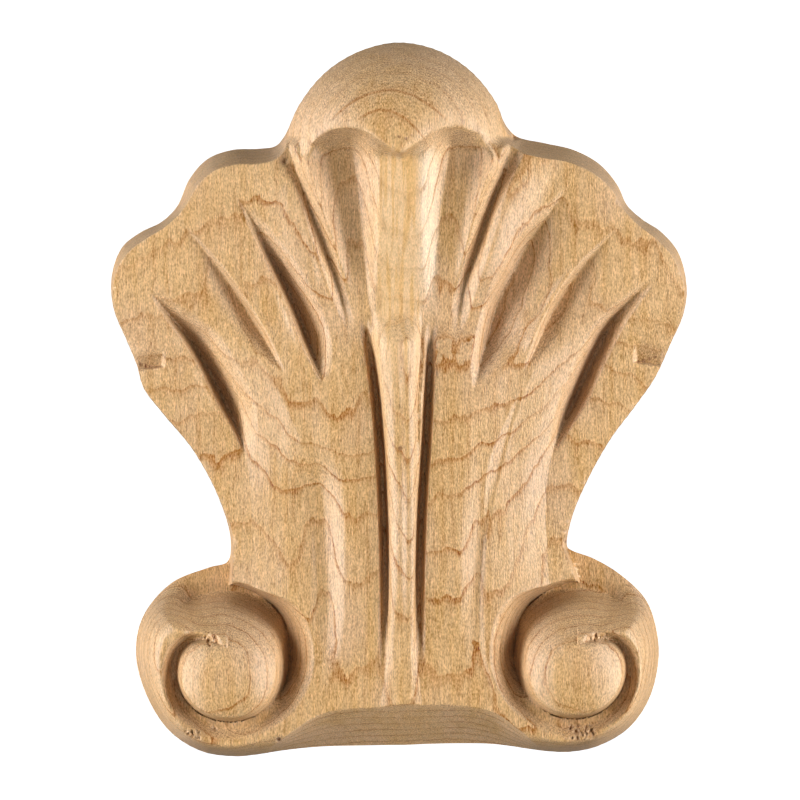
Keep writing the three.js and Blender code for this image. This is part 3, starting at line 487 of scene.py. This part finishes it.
def flute_cut(x, z, half, flute):
    reach = ease(flute["top"], flute["full"][0], z) * (1 - ease(flute["full"][1], flute["end"], z))
    line = flute["line"]
    lean = (line(z + 0.2) - line(z - 0.2)) / 0.4
    inward = -half["sign"] * (x - line(z)) / np.hypot(1, lean)
    narrow = 0.4 + 0.6 * reach
    inner = np.clip((inward / narrow - FLUTE_FLAT) / flute["inner"], 0, 1)
    outer = np.clip((-inward / narrow - FLUTE_FLAT) / flute["outer"], 0, 1)
    far = (1 - outer) ** 2 * (1 + 0.5 * outer) if flute["outer"] > GENTLE_WALL else 1 - ease(0, 1, outer)
    cut = np.where(inward > 0, (1 - inner) ** 2 * (1 + 0.6 * inner), far)
    deeper = mix(0.74, 1.1, ease(flute["top"], mix(flute["top"], flute["end"], 0.62), z))
    outside = -inward / narrow - FLUTE_FLAT - flute["outer"]
    inside = inward / narrow - FLUTE_FLAT - flute["inner"]
    lip = abs(flute["lip"]) * bell(outside if flute["lip"] > 0 else inside, LIP_WIDTH)
    return reach * deeper * (flute["depth"] * cut - reach * lip)


def body_height(x, z, half):
    sign = half["sign"]
    middle = body_middle(z)
    height = middle + (body_edge(z) - middle) * (np.abs(x) / BODY_REACH) ** BODY_FALL
    shoulder = np.clip((0.5 - sign * (x - half["shoulder"](z))) / SHOULDER_WIDTH, 0, 1)
    height += half["shoulder_rise"](z) * (shoulder - SHOULDER_LEVEL)
    beside_flute = sign * (x - half["flutes"][3]["line"](z))
    crown = ease(-1, 1, beside_flute) * (1 - ease(1.5, 9.5, beside_flute))
    height += half["crown"] * crown * ease(*CROWN_START, z) * mix(1, 0.5, ease(*CROWN_FADE, z))
    inside = -sign * (x - half["strap_edge"](z))
    trough = half["trough_depth"](z)
    wall = mix(ease(-0.4, 0.3, inside), ease(-6.5, 1.5, inside), half["strap_fall"])
    return height - trough * wall * (1 - ease(half["trough_flat"], 1, inside / half["trough_width"](z)))


def hood_and_rib(x, z, half, body):
    sign = half["sign"]
    middle = rib_middle(z)
    across = np.abs(x - middle) / rib_half(z)
    round_ = mix(0.5, 1.2, ease(-37, -49, z))
    rib = (rib_crest(z) - body_middle(z)) * np.maximum(0, 1 - across ** RIB_ROUND) ** round_
    floor_line = half["hollow_floor"](z)
    ridge_line = half["hood_ridge"](z)
    floor = half["hollow_height"](z)
    ridge = hood_height(z)
    inward = -sign * (x - floor_line)
    to_rib = np.clip(inward / np.abs(middle - floor_line), 0, 1)
    to_ridge = np.maximum(0, -inward / np.abs(ridge_line - floor_line))
    inner = floor + (rib_crest(z) - floor) * (0.86 * ease(0.2, 0.66, to_rib) + 0.14 * ease(0.5, 1, to_rib))
    crisp = ease(12, 34, z)
    outer = floor + (ridge + 0.3 * crisp - floor) * np.minimum(to_ridge, 1 + crisp) ** HOLLOW_ROUND
    hollow = np.where(inward > 0, inner, outer)
    past = sign * (x - ridge_line)
    hood = ridge + 0.6 * crisp
    hood = hood - (hood - body) * np.clip((past + 0.5) / hood_wall(z), -0.3, 1)
    upper = soft_min(hollow, hood, half["ridge_round"])
    beads = BEAD_HEIGHT * (bell(x - middle + 1.3, BEAD_WIDTH) + bell(x - middle - 1.6, BEAD_WIDTH))
    crease = CREASE_DEPTH * bell(x - middle, CREASE_WIDTH)
    marked = ease(41.7, 35.5, z) * (1 - ease(-42.8, -53.4, z))
    return mix(upper, body + rib, ease(*HOOD_TO_BODY, z)) + (beads - crease) * marked


def dome_over(x, z, height):
    up = (z - DOME["z"]) / np.where(z > DOME["z"], DOME["up"], DOME["down"])
    round_ = np.sqrt(np.maximum(0, 1 - ((x - DOME["x"]) / DOME["across"]) ** 2 - up ** 2))
    above = z - brow_line(x)
    out = np.abs(x)
    cove = COVE_LEAST + COVE_MORE * ease(0.7, 6, out) * (1 - 0.6 * ease(12.4, 17.4, out))
    roll = brow_roll(x)
    dome = EDGE_HEIGHT + (DOME_HEIGHT - EDGE_HEIGHT) * round_
    dome = dome - roll * np.exp(-np.maximum(0, above) / (1.4 * roll))
    cover = (1 - np.clip(-above / cove, 0, 1)) ** COVE_ROUND
    covered = mix(height, dome, cover)
    off_dome = np.abs(x - DOME["x"])
    below_top = ease(*BELOW_DOME_TOP, z)
    beside = soft_max(covered, soft_min(height, DOME_FOOT, 0.8), 0.8)
    covered = mix(covered, beside, ease(*DOME_SIDE, off_dome) * below_top)
    return mix(covered, height, ease(*DOME_END, off_dome) * below_top)


def rolled(crest, into):
    """Height of a round edge that rises from the outline to its crest."""
    return EDGE_HEIGHT + (crest - EDGE_HEIGHT) * (1 - (1 - np.clip(into, 0, 1)) ** 2)


def with_volute(x, z, half, body, edge):
    volute = half["volute"]
    sign = half["sign"]
    inward = -sign * (x - volute["x"])
    up = z - volute["z"]
    radius = np.hypot(inward, up)
    turned = np.mod(volute["cusp"] - np.degrees(np.arctan2(up, inward)), 360)
    leaning = np.hypot(inward, up + BUTTON_SINK) + BUTTON_LEAN * np.minimum(up, 0)
    button = BUTTON_HEIGHT - BUTTON_DROP * np.clip(leaning / BUTTON_REACH, 0, 1.3) ** BUTTON_ROUND
    domed = soft_max(button, rolled(SHELF_HEIGHT, edge / SHELF_WIDTH), 1.2)
    top = ease(0.8, 0.97, 0.5 + 0.5 * np.cos(np.radians(turned))) * ease(3, 9, radius)
    roll = mix(rolled(scroll_crest(turned), edge / roll_width(turned)), domed, top)
    waist_line = volute["waist"][0] - (z - WAIST) * volute["waist"][1]
    beside = ease(-0.4, 0.3, -sign * (x - waist_line)) * np.where(turned > 300, ease(14.9, 15.5, radius), 1)
    is_body = np.where(up > 0, beside, 1 - ease(118, 165, turned))
    past = radius - button_radius(turned)
    floor = groove_floor(turned)
    reach = groove_reach(turned)
    near = reach * (1 - np.clip(-past / inner_wall(turned), 0, 1)) ** 2
    ramp = np.clip(past / groove_width(turned), 0, 1)
    far = reach * mix((1 - ramp) ** 1.5, 1 - ease(0.25, 1, ramp), ease(100, 135, turned))
    inside = mix(mix(button, domed, top), floor, near)
    outside = mix(mix(roll, body, is_body), floor, far)
    carved = np.where(past < 0, inside, outside)
    from_cusp = np.mod(turned + 180, 360) - 180
    carved = carved - SPUR_DIP * bell(from_cusp, 28) * bell(radius - SPUR_RADIUS, 2.2)
    return mix(body, carved, ease(*BODY_TO_VOLUTE, z))


def half_height(x, z, half, edge, band):
    height = hood_and_rib(x, z, half, body_height(x, z, half))
    for flute in half["flutes"]:
        height = height - flute_cut(x, z, half, flute)
    groove = half["groove"]
    part = ease(groove["top"], groove["start"], z) * (1 - ease(RIB_GROOVE["full"], RIB_GROOVE["end"], z))
    from_groove = np.abs(x - groove["line"](z)) / RIB_GROOVE["half"]
    height = height - part * RIB_GROOVE["depth"] * (1 - ease(0.25, 1.25, from_groove))
    height = dome_over(x, z, height)
    strap_inside = -half["sign"] * (x - half["strap_edge"](np.maximum(z, -60.4)))
    height = height + half["strap_bead"] * ease(WAIST, -44.5, z) * bell(strap_inside + 1.2, 1.6)
    height = mix(height, RIM_HEIGHT, ease(*BODY_TO_RIM, z) * ease(*RIM_OUT, np.abs(x)))
    height = with_volute(x, z, half, height, edge)
    wall_slope = np.maximum((LOBE_EDGE_HEIGHT - EDGE_HEIGHT) / band, LEAST_WALL_SLOPE)
    return soft_min(height, EDGE_HEIGHT + wall_slope * edge, ARRIS_BLEND)


def relief(x, z, edge, band):
    """Height of the carving above the flat back."""
    share = np.clip(0.5 + x / (2 * SEAM_BLEND), 0, 1)
    left = half_height(x, z, HALVES["left"], edge, band)
    right = half_height(x, z, HALVES["right"], edge, band)
    return mix(left, right, share)


def notch(x, z, middle_x, middle_z, half_width, half_height, depth):
    """A gouge's short cut: deeper towards its lower side, where it ends in a steep wall."""
    across = (x - middle_x) / half_width
    up = (z - middle_z + 0.35 * across * np.sign(middle_x)) / half_height
    body = ease(1.15, 0.8, np.abs(across)) * ease(1.1, 0.9, np.abs(up))
    return depth * body * mix(1, 0.15, ease(-1, 1, up))


def torn(x, z, middle_x, middle_z, half_width, half_height):
    """Short ragged pits where the cut lifted the grain."""
    away = np.hypot((x - middle_x) / half_width, (z - middle_z) / half_height)
    ragged = np.zeros_like(x)
    near = np.flatnonzero(away < 1)
    ragged[near] = [noise.noise((x[i] * 2.1, z[i] * 1.5, 0.5)) for i in near]
    return TORN_DEPTH * np.clip(ragged * 2.2, 0, 1) * ease(1, 0.5, away)


def marked(x, z, height):
    """The carving with its tool notches, pits and torn grain."""
    for cut in NOTCHES:
        height = height - notch(x, z, *cut)
    for pit_x, pit_z, radius, depth in PITS:
        height = height - depth * bell(np.hypot(x - pit_x, z - pit_z), radius)
    for patch in TORN:
        height = height - torn(x, z, *patch)
    return height


# Carved piece


EDGE_SAMPLES = 1400
BAND_SPREAD = 22
RIM_CROWDING = 1.25
MERGE_DISTANCE = 0.002
SHARP_ANGLE = 50


class EdgeFinder:
    """Distance to the outline and width of the edge band there."""

    def __init__(self):
        self.samples = np.vstack([self.smoothed(side) for side in OUTLINE])
        self.tree = KDTree(len(self.samples))
        for i, (x, z, _band) in enumerate(self.samples):
            self.tree.insert((x, z, 0), i)
        self.tree.balance()

    @staticmethod
    def smoothed(side):
        """The outline in small steps, with its band free of kinks."""
        samples = evenly(outline_points(OUTLINE[side]), EDGE_SAMPLES)
        window = np.hanning(2 * BAND_SPREAD + 1)
        padded = np.pad(samples[:, 2], BAND_SPREAD, mode="edge")
        samples[:, 2] = np.convolve(padded, window / window.sum(), mode="valid")
        return samples

    def __call__(self, x, z):
        found = [self.tree.find((px, pz, 0))[1:] for px, pz in zip(x, z)]
        index, distance = np.array(found).T
        return distance, self.samples[index.astype(int), 2]


def spread_grid(bm, side, settings):
    """Lays a grid over one half of the face, from the spine out to the outline, and gives its points' places
    across and up.
    """
    along = settings.stations_along
    out = settings.stations_out
    made = bmesh.ops.create_grid(bm, x_segments=along, y_segments=out, size=0.5)
    shares = np.array([vert.co[:2] for vert in made["verts"]]) + 0.5
    rim = evenly(outline_points(OUTLINE[side]), along)
    station = np.rint(shares[:, 0] * along).astype(int)
    root = level_curve(SPINE)(station / along)
    reach = 1 - (1 - shares[:, 1]) ** RIM_CROWDING
    x = rim[station, 0] * reach
    z = mix(root, rim[station, 1], reach)
    return made["verts"], x, z


def carve_face(settings):
    """The whole piece as one closed mesh: two lifted half grids, the wall and the flat back."""
    bm = bmesh.new()
    nearest = EdgeFinder()
    for side in OUTLINE:
        verts, x, z = spread_grid(bm, side, settings)
        height = marked(x, z, relief(x, z, *nearest(x, z)))
        for vert, px, pz, up in zip(verts, x, z, height):
            vert.co = (px * MM, -up * MM, pz * MM)
    bmesh.ops.remove_doubles(bm, verts=bm.verts, dist=MERGE_DISTANCE * MM)
    rim = [edge for edge in bm.edges if edge.is_boundary]
    wall = bmesh.ops.extrude_edge_only(bm, edges=rim)
    for vert in (v for v in wall["geom"] if isinstance(v, bmesh.types.BMVert)):
        vert.co.y = 0
    back = bmesh.ops.holes_fill(bm, edges=[edge for edge in bm.edges if edge.is_boundary], sides=0)
    bmesh.ops.triangulate(bm, faces=back["faces"])
    bmesh.ops.recalc_face_normals(bm, faces=bm.faces)
    mesh = bpy.data.meshes.new("shell_applique_carved")
    bm.to_mesh(mesh)
    bm.free()
    return mesh


def thin_out(piece, wanted):
    """Takes triangles away where the carving is plain, and keeps them along its lines."""
    piece.data.calc_loop_triangles()
    share = wanted / len(piece.data.loop_triangles)
    if share >= 1:
        return
    piece.modifiers.new("thin", "DECIMATE").ratio = share
    shown = piece.evaluated_get(bpy.context.evaluated_depsgraph_get())
    thinned = bpy.data.meshes.new_from_object(shown)
    piece.modifiers.clear()
    piece.data = thinned
    piece.data.name = piece.name


def sharpen(mesh, angle):
    """Shades the carving smooth and leaves the rim of the back a crisp arris."""
    bm = bmesh.new()
    bm.from_mesh(mesh)
    for face in bm.faces:
        face.smooth = True
    for edge in bm.edges:
        edge.smooth = edge.is_manifold and edge.calc_face_angle() < angle
    bm.to_mesh(mesh)
    bm.free()


# Shader expressions


class Value:
    """A socket that can be used in expressions. Each operation adds its Math node."""

    def __init__(self, shader, socket):
        self.shader = shader
        self.socket = socket

    def _with(self, operation, *others):
        inputs = {0: self, **dict(enumerate(others, 1))}
        return self.shader.node("ShaderNodeMath", {"operation": operation}, inputs)

    def __add__(self, other):
        return self._with("ADD", other)

    def __sub__(self, other):
        return self._with("SUBTRACT", other)

    def __mul__(self, other):
        return self._with("MULTIPLY", other)

    def __truediv__(self, other):
        return self._with("DIVIDE", other)

    def __rsub__(self, other):
        return self.shader.node("ShaderNodeMath", {"operation": "SUBTRACT"}, {0: other, 1: self})

    def __mod__(self, other):
        return self._with("FLOORED_MODULO", other)

    __radd__ = __add__
    __rmul__ = __mul__

    def eased(self, start, stop):
        """0 at start, 1 at stop, and smooth between them."""
        return self.shader.node(
            "ShaderNodeMapRange", {"interpolation_type": "SMOOTHSTEP"},
            {"Value": self, "From Min": start, "From Max": stop})


class Shader:
    """A node material built from expressions."""

    def __init__(self, name):
        self.material = bpy.data.materials.new(name)
        self.material.use_nodes = True
        self.tree = self.material.node_tree
        self.tree.nodes.clear()

    def node(self, kind, settings=None, inputs=None, output=0):
        made = self.tree.nodes.new(kind)
        for key, setting in (settings or {}).items():
            setattr(made, key, setting)
        for key, value in (inputs or {}).items():
            if isinstance(value, Value):
                self.tree.links.new(value.socket, made.inputs[key])
            else:
                made.inputs[key].default_value = value
        return Value(self, made.outputs[output]) if made.outputs else None

    def split(self, vector):
        """The three parts of a vector."""
        parts = self.node("ShaderNodeSeparateXYZ", {}, {0: vector}).socket.node
        return [Value(self, socket) for socket in parts.outputs]

    def blend(self, share, first, second):
        colours = {key: value if isinstance(value, Value) else (*value, 1.0)
                   for key, value in ((6, first), (7, second))}
        return self.node("ShaderNodeMix", {"data_type": "RGBA"}, {0: share, **colours}, output=2)

    def shade(self, colour, share):
        """The colour made darker or lighter by a share."""
        return self.node("ShaderNodeVectorMath", {"operation": "SCALE"}, {0: colour, "Scale": share})

    def noise(self, place, stretch, **inputs):
        scaled = self.node("ShaderNodeVectorMath", {"operation": "MULTIPLY"}, {0: place, 1: stretch})
        values = {"Scale": 1.0, "Detail": 2.0, **inputs}
        return self.node("ShaderNodeTexNoise", {}, {"Vector": scaled, **values})


# Repeats of the grain's noises per millimetre across, through and along the wood
GRAIN = {
    "wander": (0.06, 0.06, 0.035),
    "ripple": (0.45, 0.45, 0.2),
    "drawn": (0.12, 0.12, 0.12),
    "fibre": (5.5, 5.5, 0.35),
    "fleck": (4.6, 4.6, 2.0),
    "strand": (1.2, 1.2, 0.035),
    "streak": (0.6, 0.6, 0.03),
    "patch": (0.09, 0.09, 0.05),
    "thread": (1.1, 0.3, 0.01),
}
RING_PERIOD = 1.9
FINE_RING_PERIOD = 0.42
SPECKLE_COLOUR = (0.63, 0.44, 0.25)
GRAIN_DEPTH = 0.16
WOOD_IOR = 1.5


def maple(settings):
    """Bare sanded maple, cut so that the growth rings lie nearly along the face."""
    s = Shader("bare maple")
    metres = s.node("ShaderNodeTexCoord", output=3)
    place = s.node("ShaderNodeVectorMath", {"operation": "SCALE"}, {0: metres, "Scale": 1 / MM})
    x, y, z = s.split(place)

    # Growth rings are sheets that lean back towards the foot, most of all down the body
    wander = s.noise(place, GRAIN["wander"], Detail=1.0) - 0.5
    ripple = s.noise(place, GRAIN["ripple"], Detail=2.0) - 0.5
    depth = y * -1.0 + z * 0.1 + z.eased(-40, 12) * 5.5 + x * x * 0.0018 + wander * 3.0 + ripple * 0.9
    ring = (depth / RING_PERIOD) % 1.0
    drawn = s.noise(place, GRAIN["drawn"], Detail=1.0).eased(0.4, 0.6)
    on_lobes = (x * x).eased(500, 900) * z.eased(-12, 4)
    on_rib = (x * x).eased(22, 8) * z.eased(-4, 20) * z.eased(46.5, 43)
    on_dome = z.eased(43, 47) * (x * x).eased(400, 300)
    strength = (0.45 + drawn * 0.55) * (1 - on_lobes * 0.5) * (1 - on_rib * 0.9) * (1 - on_dome * 0.8)
    line = ring.eased(0.8, 0.94) * (1 - ring.eased(0.955, 0.985)) * strength
    soft_edge = ring.eased(0.5, 0.95) * (1 - ring.eased(0.955, 0.985))
    fine = (depth / FINE_RING_PERIOD) % 1.0
    fine_line = fine.eased(0.5, 0.9) * (1 - fine.eased(0.9, 1.0))

    fibre = s.noise(place, GRAIN["fibre"], Detail=1.0, Roughness=0.5)
    fleck = s.noise(place, GRAIN["fleck"], Detail=1.0, Roughness=0.5)
    strand = s.noise(place, GRAIN["strand"], Detail=2.0, Roughness=0.6)
    streak = s.noise(place, GRAIN["streak"], Detail=3.0, Roughness=0.55)
    patch = s.noise(place, GRAIN["patch"], Detail=2.0)

    # Slopes that look up or down are darker, partly as end grain across the fibres and partly as painted
    # shade, down-facing ones more so higher up the piece; those that look sideways get a painted sheen
    sideways, _forward, upright = s.split(s.node("ShaderNodeTexCoord", output=1))
    end_grain_and_shade = upright.eased(0.1, 0.85) + upright.eased(-0.1, -0.9) * (0.1 + z.eased(0, 30) * 0.6)
    painted_side_sheen = (sideways * sideways).eased(0.015, 0.22)
    thread = s.noise(place, GRAIN["thread"], Detail=1.0)
    # Painted highlight: the right flank of the rib, below the brow, is made whitish
    flank_highlight_mask = x.eased(2.4, 4.4) * x.eased(7.6, 6) * z.eased(12, 24) * z.eased(46, 43)

    colour = s.blend(streak.eased(0.35, 0.7), settings.light, settings.warm)
    colour = s.blend(patch.eased(0.42, 0.68) * 0.5, colour, settings.pink)
    # Painted sheen: slopes that look sideways are made lighter and pinker
    colour = s.blend(painted_side_sheen * 0.28, colour, settings.painted_side_sheen)
    colour = s.blend(on_rib * 0.6, colour, settings.rib)
    colour = s.blend(on_rib * thread.eased(0.46, 0.58) * 0.7, colour, settings.thread)
    colour = s.blend(flank_highlight_mask * 0.6, colour, settings.flank_highlight)
    colour = s.blend(strand.eased(0.56, 0.66) * 0.24, colour, settings.ring)
    colour = s.blend(soft_edge * 0.14, colour, settings.ring)
    colour = s.blend(line * 0.95, colour, settings.ring)
    for arc_x, arc_z, fall, start, stop in ARCS:
        off = z - arc_z + (x - arc_x) * (x - arc_x) * fall + ripple * 0.5
        along = x.eased(start, start + 3.0) * x.eased(stop, stop - 3.0)
        colour = s.blend((off * off).eased(0.14, 0.0) * along * 0.8, colour, settings.ring)
        colour = s.blend(off.eased(-0.1, -2.5) * off.eased(-5, -1) * on_dome * 0.3, colour, settings.warm)
    # End grain darkening with painted shade on slopes that look up or down, strongest for down-facing slopes
    # higher up
    colour = s.blend(end_grain_and_shade * 0.45, colour, settings.end_grain_and_shade)
    for spot_x, spot_z, radius, strength in SPOTS:
        away = (x - spot_x) * (x - spot_x) + (z - spot_z) * (z - spot_z)
        colour = s.blend(away.eased(radius * radius, 0) * strength, colour, settings.spot)
    colour = s.shade(colour, 1 - fine_line * (0.03 + end_grain_and_shade * 0.2))
    speckle = ((fibre - 0.5) * 0.9 + (fleck - 0.5) * 1.3) * (1 - on_rib * 0.35)
    colour = s.node("ShaderNodeVectorMath", {"operation": "MULTIPLY_ADD"},
                    {0: speckle, 1: SPECKLE_COLOUR, 2: colour})

    roughness = settings.roughness + (fleck - 0.5) * 0.4 + (fibre - 0.5) * 0.2
    grooves = fibre * 0.5 + fleck * 0.5
    bump = s.node("ShaderNodeBump", {}, {"Strength": 0.9, "Distance": GRAIN_DEPTH * MM, "Height": grooves})
    wood = s.node("ShaderNodeBsdfPrincipled", {}, {
        "Base Color": colour, "Roughness": roughness, "Normal": bump, "IOR": WOOD_IOR})
    s.node("ShaderNodeOutputMaterial", {}, {"Surface": wood})
    return s.material


def pale_surface(name, level):
    """Plain matt surface for the studio."""
    s = Shader(name)
    coat = s.node("ShaderNodeBsdfPrincipled", {}, {
        "Base Color": (level, level, level, 1), "Roughness": 0.9,
        "Emission Color": (1, 1, 1, 1), "Emission Strength": 1.0})
    s.node("ShaderNodeOutputMaterial", {}, {"Surface": coat})
    return s.material


# Operators


class CarveApplique(bpy.types.Operator):
    """Carve the shell applique and give it its maple."""

    bl_idname = "applique.carve"
    bl_label = "Carve the applique"

    def execute(self, context):
        settings = context.scene.applique_carving
        piece = bpy.data.objects.new("shell_applique_carved", carve_face(settings))
        context.scene.collection.objects.link(piece)
        thin_out(piece, settings.triangles)
        sharpen(piece.data, math.radians(SHARP_ANGLE))
        piece.data.materials.clear()
        piece.data.materials.append(maple(context.scene.applique_maple))
        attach(piece, "root")
        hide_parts("shell_applique")
        return {"FINISHED"}


# Lights, as name, place and size in metres, and the setting that holds their power
SOFT_BOXES = [
    ("left soft box", (-0.66, -0.27, 0.04), (0.36, 0.8), "side_power"),
    ("right soft box", (0.66, -0.27, 0.04), (0.36, 0.8), "side_power"),
    ("front fill", (0, -1.8, -0.9), (1.2, 1.2), "front_power"),
    ("low fill", (0, -0.06, -0.8), (0.8, 0.12), "low_power"),
]
LIGHT_AIM = (0, -0.01, 0)
WORLD_STRENGTH = 0.2

# Camera's place across and up, in millimetres
CAMERA_X = 0.18
CAMERA_Z = -0.09

# How far in front of the flat back the view's width is measured, and the backdrop's sizes, in metres
FACE_FRONT = 0.008
BACKDROP = {"half_width": 4, "floor": -0.25, "top": 5.0, "bend": 0.5}
BEND_STEPS = 12
BACKDROP_LEVEL = 0.9


class SetStudio(bpy.types.Operator):
    """Put up the backdrop, the soft lights and the camera."""

    bl_idname = "applique.studio"
    bl_label = "Set the studio"

    def execute(self, context):
        scene = context.scene
        settings = scene.applique_stage
        self.backdrop(scene)
        for name, place, size, power in SOFT_BOXES:
            self.soft_box(scene, name, place, size, getattr(settings, power))
        world = bpy.data.worlds.new("studio")
        world.use_nodes = True
        background = world.node_tree.nodes["Background"]
        background.inputs["Color"].default_value = (1, 1, 1, 1)
        background.inputs["Strength"].default_value = WORLD_STRENGTH
        scene.world = world
        camera = bpy.data.objects.new("camera", bpy.data.cameras.new("camera"))
        scene.collection.objects.link(camera)
        camera.location = (CAMERA_X * MM, -settings.distance, CAMERA_Z * MM)
        camera.rotation_euler = (math.radians(90), 0, 0)
        at_face = settings.distance - FACE_FRONT
        camera.data.lens = camera.data.sensor_width * at_face / settings.view_width
        camera.data.clip_end = 10
        scene.camera = camera
        scene.view_settings.view_transform = "Standard"
        return {"FINISHED"}

    @staticmethod
    def soft_box(scene, name, place, size, power):
        data = bpy.data.lights.new(name, "AREA")
        data.shape = "RECTANGLE"
        data.size, data.size_y = size
        data.energy = power
        light = bpy.data.objects.new(name, data)
        light.location = place
        light.rotation_euler = (Vector(LIGHT_AIM) - Vector(place)).to_track_quat("-Z", "Y").to_euler()
        scene.collection.objects.link(light)

    @staticmethod
    def backdrop(scene):
        """A floor that sweeps up into a wall."""
        bm = bmesh.new()
        bmesh.ops.create_grid(bm, x_segments=1, y_segments=1, size=BACKDROP["half_width"])
        for vert in bm.verts:
            vert.co.z = BACKDROP["floor"]
        far = [edge for edge in bm.edges if all(vert.co.y > 0 for vert in edge.verts)]
        made = bmesh.ops.extrude_edge_only(bm, edges=far)
        for vert in (v for v in made["geom"] if isinstance(v, bmesh.types.BMVert)):
            vert.co.z = BACKDROP["top"]
        bend = [edge for edge in bm.edges if all(vert.co.y > 0 > vert.co.z for vert in edge.verts)]
        bmesh.ops.bevel(
            bm, geom=bend, offset=BACKDROP["bend"], segments=BEND_STEPS, profile=0.5, material=-1,
            affect="EDGES")
        bmesh.ops.recalc_face_normals(bm, faces=bm.faces)
        mesh = bpy.data.meshes.new("backdrop")
        bm.to_mesh(mesh)
        bm.free()
        sweep = bpy.data.objects.new("backdrop", mesh)
        scene.collection.objects.link(sweep)
        for polygon in mesh.polygons:
            polygon.use_smooth = True
        mesh.materials.append(pale_surface("pale backdrop", BACKDROP_LEVEL))
        sweep.visible_diffuse = False
        sweep.visible_glossy = False


class AppliquePanel(bpy.types.Panel):
    """Sizes, colours and steps of the applique."""

    bl_idname = "VIEW3D_PT_applique"
    bl_label = "Shell applique"
    bl_space_type = "VIEW_3D"
    bl_region_type = "UI"
    bl_category = "Applique"

    def draw(self, context):
        for key, operator in PANEL_ROWS.items():
            box = self.layout.box()
            for name in GROUPS[key].__annotations__:
                box.prop(getattr(context.scene, key), name)
            if operator:
                box.operator(operator.bl_idname)


CLASSES = (CarvingSettings, MapleSettings, StageSettings, CarveApplique, SetStudio, AppliquePanel)
GROUPS = {
    "applique_carving": CarvingSettings,
    "applique_maple": MapleSettings,
    "applique_stage": StageSettings,
}
PANEL_ROWS = {"applique_carving": None, "applique_maple": CarveApplique, "applique_stage": SetStudio}


def register():
    for cls in CLASSES:
        bpy.utils.register_class(cls)
    for name, group in GROUPS.items():
        setattr(bpy.types.Scene, name, PointerProperty(type=group))


def unregister():
    for name in GROUPS:
        delattr(bpy.types.Scene, name)
    for cls in reversed(CLASSES):
        bpy.utils.unregister_class(cls)


def main():
    register()
    bpy.ops.applique.carve()
    bpy.ops.applique.studio()


if __name__ == "__main__":
    main()
